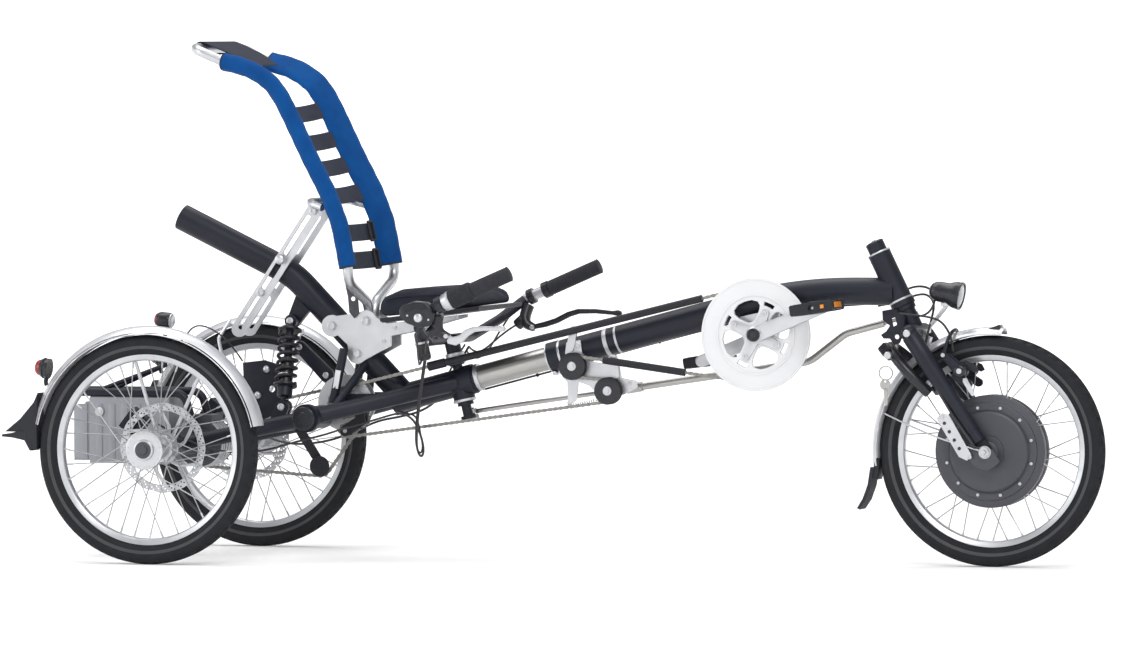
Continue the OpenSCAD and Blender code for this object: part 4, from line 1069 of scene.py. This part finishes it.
spring = coil("damper_spring", (209.4, -33, 494), (211.3, -68, 386), 21.5, 3.9, 6.6, "spring_black", "frame")
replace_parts(spring, "shock_spring")
DAMPER_FOOT, LAMP_BACK = (211.4, -69.8, 382), (-0.994, 0, 0.11)
damper_up = tuple(-Vector((2.0, -38.8, -117)).normalized())
turned("damper_top_cup", [(9.1, 0), (25.6, 0), (26.4, 1), (26.4, 4), (22, 6), (17, 10), (9.1, 12)],
       at(209.4, -31, 499), damper_up, "spring_black", "frame", 40)
turned("damper_low_cup", [(17.1, 2), (25.6, 2), (26.4, 1), (26.4, -3), (25.6, -4), (17.1, -4)],
       at(*DAMPER_FOOT), damper_up, "spring_black", "frame", 40)
turned("damper_body", [(9.1, 4), (14.5, 4), (15.4, 5), (15.4, 60), (14.4, 61), (9.1, 61)], at(*DAMPER_FOOT),
       damper_up, "gloss_black", "frame", 32)
turned("damper_ring", [(15.5, 18), (18.4, 18), (18.4, 23), (15.5, 23)], at(*DAMPER_FOOT), damper_up,
       "aluminium", "frame", 32)
for name, place in (("damper_top_bolt", (209, -28, 521)), ("damper_low_bolt", (212, -99, 334))):
    bolt(name, at(*place), (0, -1, 0), 8, "aluminium", "frame", 5)
for side, word in SIDES:
    turned(f"arm_pivot_cap_{word}", [(0, 3), (13, 3), (14, 2), (14, 0.6), (24, 0.6), (26, -1), (0, -1)],
           at(297, side * 200.6, 313), (0, side, 0), "gloss_black", "frame", 40, closed=False)
    y = side * HALF_TRACK
    turned(f"tail_lamp_{word}", [(0, 26), (8, 25), (15, 21.6), (19.6, 15.5), (21.6, 8), (22, 0), (0, 0)],
           at(-229, y, 424.3), LAMP_BACK, "gloss_black", "frame", 40, closed=False)
    turned(f"tail_lens_{word}", [(0, 33.4), (7, 32.6), (13.6, 29.4), (17, 24.5), (18, 19), (0, 19)],
           at(-229, y, 424.3), LAMP_BACK, "red_lens", "frame", 40, closed=False)
    turned(f"tail_lamp_rim_{word}", [(18.2, 17), (22.4, 11), (22.9, 12), (19.4, 18.4)], at(-229, y, 424.3),
           LAMP_BACK, "gloss_black", "frame", 40)
    tube(f"tail_lamp_stem_{word}", [[(-236, y, 404), (-240, y, 396), (-236, y, 388)]], 5, "black_plastic",
         "frame")
rear_lamp = turned("rear_lamp", [(0, 34), (10, 33.4), (15.6, 30), (17.8, 24), (18, 4), (16.6, 0), (0, 0)],
                   at(-80, 0, 518), LAMP_BACK, "gloss_black", "frame", 36, closed=False)
turned("rear_lamp_lens", [(0, 38.4), (8, 37.6), (13, 34.4), (14, 31), (0, 31)], at(-80, 0, 518), LAMP_BACK,
       "red_lens", "frame", 36, closed=False)
turned("rear_lamp_cap", [(0, 5), (12, 4.4), (16, 1), (16.4, -3), (0, -3)], at(-79, 0, 518), (0.994, 0, -0.11),
       "aluminium", "frame", 36, closed=False)
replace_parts(rear_lamp, "tail_lamps")

for side, word in SIDES:
    tube(f"upright_strut_{word}", [[(346, side * 62, 462), (335, side * 70, 400), (323, side * 74, 342)]], 10,
         "black_paint", "frame", sides=4)
plate("label", [[(332, 416), (344, 414), (337, 374), (325, 376)]], -80.4, 1, "white_plastic", "frame", 0.2)
# Ribs, lid and lock of the battery box
for k, x in enumerate((-236, -206, -176, -146, -116, -86)):
    plate(f"battery_rib_{k + 1}", [oblong(x, 214, x + 16, 336)], -62.6, 2.2, "battery_grey", "frame", 1)
plate("battery_side_rear", [[(-288, 216), (-256, 212), (-256, 336), (-288, 334)]], -59.4, 3, "battery_grey",
      "frame", 1)
turned("battery_lock", [(0, 5), (6, 5), (7, 4), (9, 4), (10, 3), (10, 0), (0, 0)], at(-226, -63.6, 318),
       (0, -1, 0), "aluminium", "frame", 24, closed=False)
plate("battery_lid", [oblong(-250, 349, -66, 353)], 0, 118, "motor_grey", "frame", 1.2)

# Case ribs of the differential
for k, y in enumerate((-38, -24, -8, 8, 22)):
    turned(f"case_rib_{k + 1}", [(51.6, -2), (54.6, -1.4), (54.6, 1.4), (51.6, 2)], at(0, y, 250), (0, 1, 0),
           "aluminium", "frame", 48)
plate("rear_sprocket", [toothed(0, WHEEL_RADIUS, 52.4, 57, 28), circle(0, WHEEL_RADIUS, 40, 30)],
      FINAL_CHAIN_Y, 2.2, "chain_steel", "frame", 0.2)


# ---------------------------------------------------------------- handlebar

GRIP = Vector((151, 0, 65)).normalized()
BEND = Vector((640, 0, 561.5))
STEM, RESERVOIR_UP, CAP_FACE = (-0.225, 0, 0.974), (-0.2, 0, 0.98), (-0.75, 0, -0.66)


def grip_start(side):
    """Place of the bar's bend, where a grip's line starts."""
    return at(BEND.x, side * BAR_Y, BEND.z)


def make_grip(word, side):
    main, twist = [], []
    low = 96 if side < 0 else 62
    for k in range(18 if side < 0 else 25):
        h = low + k * 4.9
        main += [(16.6, h), (16.6, h + 3.2), (15.9, h + 3.6), (15.9, h + 4.5)]
    for k in range(11):
        h = 44 + k * 4.3
        twist += [(20.6, h), (21, h + 2.6), (19.4, h + 3.1), (19.4, h + 3.9)]
    start = grip_start(side)
    axis = tuple(GRIP)
    grip = turned(f"{word}_grip", [(11.05, low)] + main + [(17, 186), (17, 187.4), (15, 188.4), (0, 188.4),
                                                           (0, 184), (11.05, 184)], start, axis,
                  "grip_rubber", "handlebar", 40)
    if side < 0:
        turned("right_twist_grip", [(11.05, 44)] + twist + [(21, 92), (19, 95.6), (11.05, 95.6)], start, axis,
               "grip_rubber", "handlebar", 40)
        turned("right_grip_collar", [(11.7, 24), (16, 24), (18.4, 27), (20.6, 40), (20.6, 43.4),
                                     (11.7, 43.4)], start, axis, "aluminium", "handlebar", 40)
    else:
        turned("left_grip_collar", [(11.7, 46), (17, 46), (18.4, 47), (18.4, 61), (17, 61.6), (11.7, 61.6)],
               start, axis, "gloss_black", "handlebar", 40)
    return grip


for side, word in SIDES:
    grip = make_grip(word, side)
    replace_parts(grip, "grips")
    # Lever clamp, body and blade
    turned(f"{word}_lever_clamp", [(11.6, 8), (16.6, 8), (17.6, 9), (17.6, 22), (16.6, 23), (11.6, 23)],
           grip_start(side), tuple(GRIP), "gloss_black", "handlebar", 40)
    body = new_curve(f"{word}_lever_body", [[at(*q) for q in ((650, side * 324, 548), (644, side * 318, 532),
                                                              (643, side * 311, 514),
                                                              (652, side * LEVER_Y, 503),
                                                              (668, side * LEVER_Y, 498))]], "NURBS")
    body.data.bevel_depth = 0.0115
    body.data.bevel_resolution = 4
    body.data.use_fill_caps = True
    for p, r in zip(body.data.splines[0].points, (1.1, 1.15, 1.1, 0.95, 0.75)):
        p.radius = r
    body = tidy(to_mesh(body), "gloss_black", "handlebar", 60)
    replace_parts(body, "brake_levers")
    if side < 0:
        blade = [(662, 502), (678, 498), (692, 502), (706, 514), (722, 520), (748, 522), (772, 521),
                 (786, 524), (794, 522), (797, 517), (794, 512), (786, 510), (772, 512), (748, 512),
                 (726, 509), (712, 500), (700, 488), (684, 480), (666, 484)]
    else:
        blade = [(666, 506), (690, 512), (716, 520), (744, 534), (768, 541), (810, 541), (850, 537),
                 (862, 539), (869, 536), (871, 531), (868, 526), (860, 526), (850, 528), (810, 531),
                 (772, 530), (750, 523), (722, 509), (694, 500), (666, 495)]
    plate(f"{word}_lever_blade", [blade], side * LEVER_Y, 10, "aluminium" if side < 0 else "gloss_black",
          "handlebar", 2.4)
    turned(f"{word}_lever_pivot", [(0, 12), (4, 12), (5, 11), (5, -11), (4, -12), (0, -12)],
           at(664, side * LEVER_Y, 500), (0, 1, 0), "aluminium", "handlebar", 20, closed=False)
    turned(f"{word}_lever_cap", [(0, 21), (9, 21), (12, 19.5), (13, 16), (13, 0), (11, -3), (0, -3)],
           at(640, side * 313, 516), CAP_FACE, "gloss_black", "handlebar", 32, closed=False)
    bolts(f"{word}_cap_bolts", [(627, side * 313 - 6, 503), (627, side * 313 + 6, 503)], CAP_FACE, 1.6,
          "aluminium", "handlebar", 1.4, True)

# Shift cable dial on the right and the reservoir with its ball on the bar
plate("shifter_case", [[(566, 556), (572, 566), (600, 576), (626, 574), (640, 562), (646, 540), (638, 524),
                        (612, 518), (584, 528), (568, 540)]], -BAR_Y, 34, "gloss_black", "handlebar", 5)
plate("shifter_lid", [[(576, 560), (602, 570), (626, 568), (632, 560), (604, 560), (580, 552)]], -348, 3,
      "black_plastic", "handlebar", 1)
turned("shifter_knob", [(0, 8), (5, 8), (9, 6), (10, 3), (10, 0), (0, 0)], at(612, -347, 540), (0, -1, 0),
       "aluminium", "handlebar", 32, closed=False)
bolts("shifter_screws", [(586, -347, 545), (634, -347, 536)], (0, -1, 0), 2.6, "aluminium", "handlebar", 1.6,
      True)
turned("reservoir", [(0, 36), (10, 36), (13, 34), (14, 30), (14, -22), (12, -26), (8, -28), (0, -28)],
       at(575, -205, 470), RESERVOIR_UP, "gloss_black", "handlebar", 36, closed=False)
turned("reservoir_ring", [(14.1, 8), (15.4, 8.6), (15.4, 12.4), (14.1, 13)], at(575, -205, 470), RESERVOIR_UP,
       "aluminium", "handlebar", 36)
turned("ball_knob", [(0, 12), (5, 11.2), (9.6, 7.6), (11.6, 1.6), (10.8, -3.6), (7, -8.4), (3.4, -10),
                     (3.4, -20), (0, -20)], at(566, -205, 514), RESERVOIR_UP, "aluminium", "handlebar", 32,
       closed=False)
turned("stem_clamp", [(11.05, 0), (20, 0), (21, 1), (21, 24), (20, 25), (11.05, 25)], at(586, 0, 428), STEM,
       "aluminium", "handlebar", 40)
turned("stem_cap", [(0, 5), (8, 5), (14, 3), (16.8, 0), (16.8, -1), (0, -1)], at(572.6, 0, 486.8), STEM,
       "gloss_black", "handlebar", 32, closed=False)
turned("pivot_housing_ring", [(24.1, 0), (26, 0.6), (26, 5.4), (24.1, 6)], at(605, 0, 345.6), STEM,
       "aluminium", "frame", 48)


# ---------------------------------------------------------------- cables

RIGHT_ROUTE = [(565, -150, 461), (556, -130, 440), (545, -115, 400), (534, -105, 350), (526, -100, 290),
               (524, -98, 245), (534, -96, 225), (540, -92, 240), (530, -84, 275), (510, -76, 310),
               (480, -76, 324), (440, -88, 312), (400, -104, 299), (360, -120, 288), (320, -138, 274),
               (270, -158, 262), (200, -180, 240), (120, -205, 236), (40, -232, 262), (-20, -252, 300)]
LEFT_ROUTE = [(565, 150, 461), (550, 132, 430), (530, 118, 385), (505, 100, 340), (470, 92, 318),
              (420, 104, 306), (360, 124, 296), (300, 146, 270), (220, 172, 244), (120, 205, 236),
              (40, 232, 262), (-20, 252, 300)]
BOOM_ROUTE = [(640, 34, 372), (760, 36, 404), (900, 36, 441), (1040, 36, 479), (1180, 37, 515),
              (1300, 38, 543), (1400, 38, 557), (1480, 40, 562), (1530, 48, 566)]
loom = tube("brake_and_gear_cables", [RIGHT_ROUTE, LEFT_ROUTE], 2.6, "cable_black", None, sides=1)
second_leads = tube("second_leads", [[(x - 5, y * 0.97 + 6, z + 7) for x, y, z in RIGHT_ROUTE[:9]] +
                                     [(516, -70, 316), (490, -66, 322), (470, -60, 326)],
                                     [(a - 7, b * 0.96, c + 5) for a, b, c in LEFT_ROUTE[:6]]], 2.1,
                    "cable_black", None, sides=1)
boom_wire = tube("boom_wire", [BOOM_ROUTE], 2.6, "cable_black", None, sides=1)
loom = joined("frame_loom", [loom, second_leads, boom_wire])
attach(loom, "frame")
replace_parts(loom, "frame_cables")
for k, (x, y, z) in enumerate(((760, 36, 404), (1040, 36, 479), (1300, 38, 543))):
    turned(f"cable_tie_{k + 1}", [(3, -2), (4.2, -2), (4.2, 2), (3, 2)], at(x, y, z), (0.966, 0, 0.258),
           "black_plastic", "frame", 16)

for side, word in SIDES:
    loose = tube(f"{word}_lever_hoses", [[(634, side * 313, 510), (618, side * 300, 500),
                                          (598, side * 262, 478), (582, side * 212, 452),
                                          (571, side * 172, 446), (565, side * 150, 461)],
                                         [(640, side * 344, 556), (612, side * 338, 540),
                                          (592, side * 300, 496), (576, side * 240, 440),
                                          (562, side * 186, 430), (558, side * 154, 452)]], 2.3,
                 "cable_black", None, sides=1)
    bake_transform(loose)

front = tube("front_loop", [[(1530, 48, 566), (1560, 56, 580), (1592, 54, 596), (1620, 44, 604),
                             (1648, 30, 602), (1668, 12, 590), (1674, -8, 570), (1666, -26, 548),
                             (1648, -40, 540), (1626, -50, 544), (1606, -48, 548)],
                            [(1530, 52, 560), (1566, 66, 566), (1604, 66, 582), (1640, 50, 588),
                             (1664, 24, 570), (1668, 2, 548), (1664, -14, 520)]], 2.5, "cable_black", None,
             sides=1)
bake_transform(front)
hose = tube("brake_hose", [[(1606, -48, 548), (1625, -50, 545), (1660, -47, 542), (1695, -44, 534),
                            (1714, -43, 510), (1722, -43, 485), (1724, -44, 466)]], 2.6, "cable_black",
            "fork", sides=1)
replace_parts(hose, "fork_cables")
tube("motor_cable", [[(1664, -14, 520), (1658, -48, 470), (1676, -66, 420), (1712, -76, 360),
                      (1752, -78, 300), (1780, -76, 262)]], 3, "cable_black", "fork", sides=1)


# ---------------------------------------------------------------- fork, lamp, lock and brake

STEER = (-math.sin(math.radians(26)), 0, math.cos(math.radians(26)))
turned("top_cap", [(0, 30), (8, 30), (18, 28.6), (20.6, 26), (20.6, 24), (0, 24)], at(1548, 0, 674), STEER,
       "gloss_black", "fork", 40, closed=False)
turned("headset_ring", [(20.1, 4), (25.6, 4), (26.2, 3), (26.2, 1.4), (25.6, 0.4), (20.1, 0.4)],
       at(1548, 0, 674), STEER, "aluminium", "fork", 48)
bolt("top_cap_bolt", at(1548, 0, 674) + Vector(STEER) * 0.0298, STEER, 4.5, "aluminium", "fork", 2.4)
turned("low_headset_ring", [(25.1, 0), (27.6, 0.6), (27.6, 4.4), (25.1, 5)],
       at(1548, 0, 674) - Vector(STEER) * 0.1135, STEER, "aluminium", "frame", 48)
turned("crown_bolt", [(0, 5), (7, 5), (8, 4), (8, -3), (0, -3)], at(1630, -77, 505), (0, -1, 0), "aluminium",
       "fork", 24, closed=False)

LAMP_PLACE, LAMP_AXIS = at(1668, 0, 596), tuple(Vector((60, 0, -12)).normalized())
turned("headlamp_shell", [(0, -8), (8, -7), (15, -3), (20, 4), (22, 14), (23, 34), (27.4, 44), (29.4, 52),
                          (29.6, 62), (28, 62), (27.4, 58), (0, 58)], LAMP_PLACE, LAMP_AXIS, "gloss_black",
       "fork", 48, closed=False)
turned("headlamp_bowl", [(0, 44), (6, 44.4), (14, 47), (22, 53), (26.6, 60.6), (27.2, 61.4)], LAMP_PLACE,
       LAMP_AXIS, "aluminium", "fork", 48, closed=False)
turned("headlamp_lens", [(0, 66.4), (10, 66), (20, 64.4), (26.6, 62), (26.6, 60.4), (20, 62.6), (10, 64.2),
                         (0, 64.6)], LAMP_PLACE, LAMP_AXIS, "clear", "fork", 48, closed=False)
turned("headlamp_rim", [(27, 60), (30.2, 60), (30.8, 62), (30.2, 65), (27, 64.4)], LAMP_PLACE, LAMP_AXIS,
       "gloss_black", "fork", 48)
for side, word in SIDES:
    stay = [(1652, side * 9, 508), (1664, side * 12, 522), (1690, side * 12, 552), (1700, side * 10, 566)]
    tube(f"lamp_stay_{word}", [stay], 2.6, "aluminium", "fork", sides=2)
plate("lamp_foot", [oblong(1688, 562, 1712, 570)], 0, 26, "aluminium", "fork", 1.2)
lamp_bracket = plate("lamp_bracket", [[(1646, 500), (1660, 504), (1660, 514), (1648, 512)]], 0, 26,
                     "aluminium", "fork", 1.2)
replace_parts(lamp_bracket, "headlight")

# Ring lock: a flat horseshoe over the tyre with its cases, lock cylinder and keys
LOCK_A, LOCK_B = Vector((1558, 0, 484)), Vector((1708, 0, 332))
along = (LOCK_B - LOCK_A).normalized()
across = Vector((0, 1, 0))
base = LOCK_A + along * 12
ring = []
for k in range(25):
    a = math.radians(-38 + 256 * k / 24)
    p = base + along * (92 - 84 * math.sin(a)) + across * (54 * math.cos(a)) + Vector((1.2, 0, 1.6)) * 2
    ring.append(at(*p))
lock = new_curve("lock_ring", [ring], "NURBS")
lock.data.bevel_depth = 0.0125
lock.data.bevel_resolution = 3
lock.data.use_fill_caps = True
lock = tidy(to_mesh(lock), "gloss_black", "fork", 60)
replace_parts(lock, "ring_lock")
normal = along.cross(across)
for name, y in (("lock_case", 30), ("lock_case_right", -30)):
    turned(name, [(0, 9), (19, 9), (22, 6), (22, -10), (19, -13), (0, -13)],
           at(*(base + along * 14 + across * y)), tuple(normal), "gloss_black", "fork", 6, closed=False,
           angle=25)
turned("lock_cylinder", [(0, 16), (7, 16), (8, 15), (8, 0), (0, 0)], at(*(base + along * 26 - across * 56)),
       (0, -1, 0), "aluminium", "fork", 28, closed=False)
kx, kz = 1576, 434
plate("key_bow", [circle(kx + 4, kz - 40, 12, 24), circle(kx + 4, kz - 33, 2.6, 12)], -72, 2.4, "stainless",
      "fork", 0.6)
tube("key_ring", [[(x, -73, z) for x, z in circle(kx + 6, kz - 15, 15, 20) + [(kx + 21, kz - 15)]]],
     1.3, "stainless", "fork", sides=1)
plate("spare_key", [[(kx + 1, kz - 48), (kx + 9, kz - 48), (kx + 11, kz - 60), (kx + 10, kz - 84),
                     (kx + 5, kz - 86), (kx + 1, kz - 60)]], -74, 2.2, "stainless", "fork", 0.6)

# Rim brake on the fork
for side, word in SIDES:
    turned(f"brake_cylinder_{word}", [(0, 18), (8, 18), (12, 16), (13.6, 12), (13.6, -12), (12, -15),
                                      (0, -15)], at(1742, side * 44, 424), (0, side, 0), "gloss_black",
           "fork", 36, closed=False)
    plate(f"brake_shoe_{word}", [[(1722, 436), (1748, 446), (1770, 436), (1776, 424), (1768, 420),
                                  (1750, 428), (1728, 424)]], side * 27, 7, "grip_rubber", "fork", 1.4)
    plate(f"brake_arm_{word}", [link_outline((1742, 424), (1704, 458), 10, 7)], side * 50, 7, "black_paint",
          "fork", 1.6)
    bolt(f"brake_bolt_{word}", at(1742, side * 62, 424), (0, side, 0), 6, "aluminium", "fork", 3)
    bolt(f"brake_arm_bolt_{word}", at(1704, side * 53, 458), (0, side, 0), 4.6, "aluminium", "fork", 3)
plate("brake_release", [[(1748, 408), (1756, 410), (1772, 382), (1774, 372), (1768, 370), (1762, 378),
                         (1748, 400)]], -52, 4, "aluminium", "fork", 1)
tube("brake_bridge", [[(1704, -50, 458), (1712, -44, 492), (1716, -22, 508), (1718, 0, 512), (1716, 22, 508),
                       (1712, 44, 492), (1704, 50, 458)]], 4, "black_paint", "fork", sides=3)

# Mudguard trim
def fender_edge(name, centre, y, r, a, b, look, body, wire=1.4):
    return tube(name, [[(centre[0] + r * math.cos(math.radians(t)), y, centre[1] +
                         r * math.sin(math.radians(t))) for t in range(a, b + 1, 4)]], wire, look, body,
                sides=1)


for side, word in SIDES:
    for edge in (-29, 29):
        fender_edge(f"{word}_mudguard_edge_{'out' if edge * side > 0 else 'in'}", (0, WHEEL_RADIUS),
                    side * HALF_TRACK + edge, 252.5, 12, 168, "silver_paint", "frame")
for edge in (-27, 27):
    fender_edge(f"front_mudguard_edge_{'right' if edge < 0 else 'left'}", (WHEELBASE, WHEEL_RADIUS), edge,
                253.5, 84, 187, "silver_paint", "fork")
plate("front_reflector", [[(1782, 506), (1786, 511), (1818, 523), (1821, 517), (1816, 505)]], 0, 34,
      "gloss_black", "fork", 1.6)
tube("front_mudguard_stay", [[(1566, -27, 330), (1640, -56, 300), (1720, -68, 272), (1790, -72, 254)],
                             [(1566, 27, 330), (1640, 56, 300), (1720, 68, 272), (1790, 72, 254)]], 1.9,
     "aluminium", "fork", sides=2)

# Idler and bracket details
for k, (x, z) in enumerate(IDLERS):
    turned(f"idler_cap_{k + 1}", [(0, 4), (5, 4), (6, 3), (9, 3), (10, 2), (10, 0), (0, 0)], at(x, -56, z),
           (0, -1, 0), "aluminium", "frame", 28, closed=False)
    turned(f"idler_disc_{k + 1}", [(10, 0.8), (27, 0.8), (29.4, 0), (30, -1.4), (10, -1.4)], at(x, -56, z),
           (0, -1, 0), "gloss_black", "frame", 48)
bolts("bracket_plate_bolts", [(874, -34, 470), (898, -34, 432), (962, -34, 416), (992, -34, 390)], (0, -1, 0),
      4.4, "aluminium", "frame", 3)
coil("chain_spring", (857, -40, 338), (918, -44, 352), 4.4, 0.9, 12, "aluminium", "frame")
tube("spring_hooks", [[(857, -40, 338), (851, -38, 342), (850, -36, 350)],
                      [(918, -44, 352), (926, -44, 352), (930, -42, 358)]], 0.9, "aluminium", "frame",
     sides=1)
for k, (x, z) in enumerate(TENSION_WHEELS):
    bolt(f"tension_bolt_{k + 1}", at(x, -55, z), (0, -1, 0), 4.6, "aluminium", "frame", 3)
turned("final_wheel_cap", [(0, 3), (6, 3), (7, 2), (7, 0), (0, 0)], at(FINAL_WHEEL[0], 49.4, FINAL_WHEEL[1]),
       (0, 1, 0), "aluminium", "frame", 24, closed=False)
bolt("hub_axle_nut_right", at(GEAR_HUB[0], -60.6, GEAR_HUB[1]), (0, -1, 0), 11, "aluminium", "frame", 7)
bolt("hub_axle_nut_left", at(GEAR_HUB[0], 50.6, GEAR_HUB[1]), (0, 1, 0), 11, "aluminium", "frame", 7)
plate("hub_sprocket", [toothed(*GEAR_HUB, 28, 33, 16), circle(*GEAR_HUB, 18, 24)], CHAIN_Y, 2.2,
      "chain_steel", "frame", 0.2)
plate("final_drive_sprocket", [toothed(*GEAR_HUB, 35, 41.25, 16), circle(*GEAR_HUB, 20, 24)], FINAL_CHAIN_Y,
      2.2, "chain_steel", "frame", 0.2)
bolts("torque_plate_bolts", [(1706, -72, 325), (1768, -72, 240)], (0, -1, 0), 5, "aluminium", "fork", 3)
for side, word in SIDES:
    bolts(f"caliper_bolts_{word}", [(-70, side * 285, 302), (-40, side * 285, 330)], (0, side, 0), 4,
          "aluminium", "frame", 3)

# Bracket with cable slots on the front of the steering arm, washer plate on the axle and the flap's clip
plate("steering_bracket", [[(1563, 552), (1584, 556), (1614, 540), (1612, 506), (1602, 482), (1590, 478),
                            (1580, 492), (1566, 492), (1560, 500), (1572, 508), (1580, 520), (1564, 532)],
                           [(1584, 536), (1592, 538), (1596, 522), (1588, 518)], circle(1596, 496, 5, 20)],
      -32, 5, "black_paint", "fork", 1.2)
turns = [math.radians(t) for t in range(150, 331, 10)]
arc = [(WHEELBASE + 38 * math.cos(t), WHEEL_RADIUS + 38 * math.sin(t)) for t in turns]
plate("axle_plate", [arc + [(1818, 256), (1800, 262), (1782, 262)]], -64.6, 3, "motor_grey", "fork", 0.6)
plate("front_flap_clip", [[(1542, 232), (1553, 230), (1551, 200), (1547, 186), (1538, 190)]], 0, 46,
      "black_plastic", "fork", 1.6)
plate("seat_lug", [[(343, 601), (352, 604), (371, 586), (375, 540), (364, 528), (352, 541), (349, 575)],
                   circle(361, 571, 5, 20)], -44, 4, "motor_grey", "frame", 1)
tube("right_bar_sleeve", [[(640, BAR_Y, 561.5), (662, BAR_Y, 571), (684, BAR_Y, 580.5)]], 12.2, "aluminium",
     "handlebar", sides=4)


# Tapered fork legs, rear brackets, flap fins and the tension wheel's cheek
for side, word in SIDES:
    turned(f"fork_leg_{word}", [(0, -3), (15, -2), (19.6, 4), (19.6, 60), (17.6, 190), (16.4, 250), (0, 250)],
           at(1632, side * 60, 502), (154, 0, -230), "black_paint", "fork", 40, closed=False, angle=60)
    plate(f"{word}_flap_fin", [[(-249, 372), (-258, 352), (-289, 316), (-325, 287), (-300, 287), (-282, 290),
                                (-264, 250), (-251, 250)]], side * HALF_TRACK, 50, "black_plastic", "frame",
          2)
plate("rear_bracket", [[(78, 426), (130, 432), (160, 423), (170, 397), (166, 340), (145, 308), (113, 294),
                        (84, 299)], circle(146, 368, 7, 20)], 30, 6, "black_paint", "frame", 1.4)
for k, (x, z) in enumerate(((134, 412), (113, 354))):
    bolt(f"rear_bracket_bolt_{k + 1}", at(x, 27, z), (0, -1, 0), 8.5, "aluminium", "frame", 5, True)
plate("upper_link", [link_outline((214, 462), (276, 400), 13, 16)], 26, 14, "black_paint", "frame", 2)
for k, (x, z) in enumerate(((214, 462), (276, 400))):
    bolt(f"upper_link_bolt_{k + 1}", at(x, 19, z), (0, -1, 0), 7, "aluminium", "frame", 4)
turned("tension_wheel_cheek", [(0, 3), (7, 3), (8, 2), (21, 2), (23, 0), (23, -1), (0, -1)],
       at(FINAL_WHEEL[0], 30, FINAL_WHEEL[1]), (0, -1, 0), "black_plastic", "frame", 40, closed=False)
tube("lamp_lead", [[(-80, 0, 430), (-60, 0, 470), (-40, 0, 492), (-31, 0, 503), (-12, 0, 510), (20, 0, 500),
                    (60, 0, 470), (84, 10, 430)]], 1.8, "cable_black", "frame", sides=1)


add_camera()
add_stage()
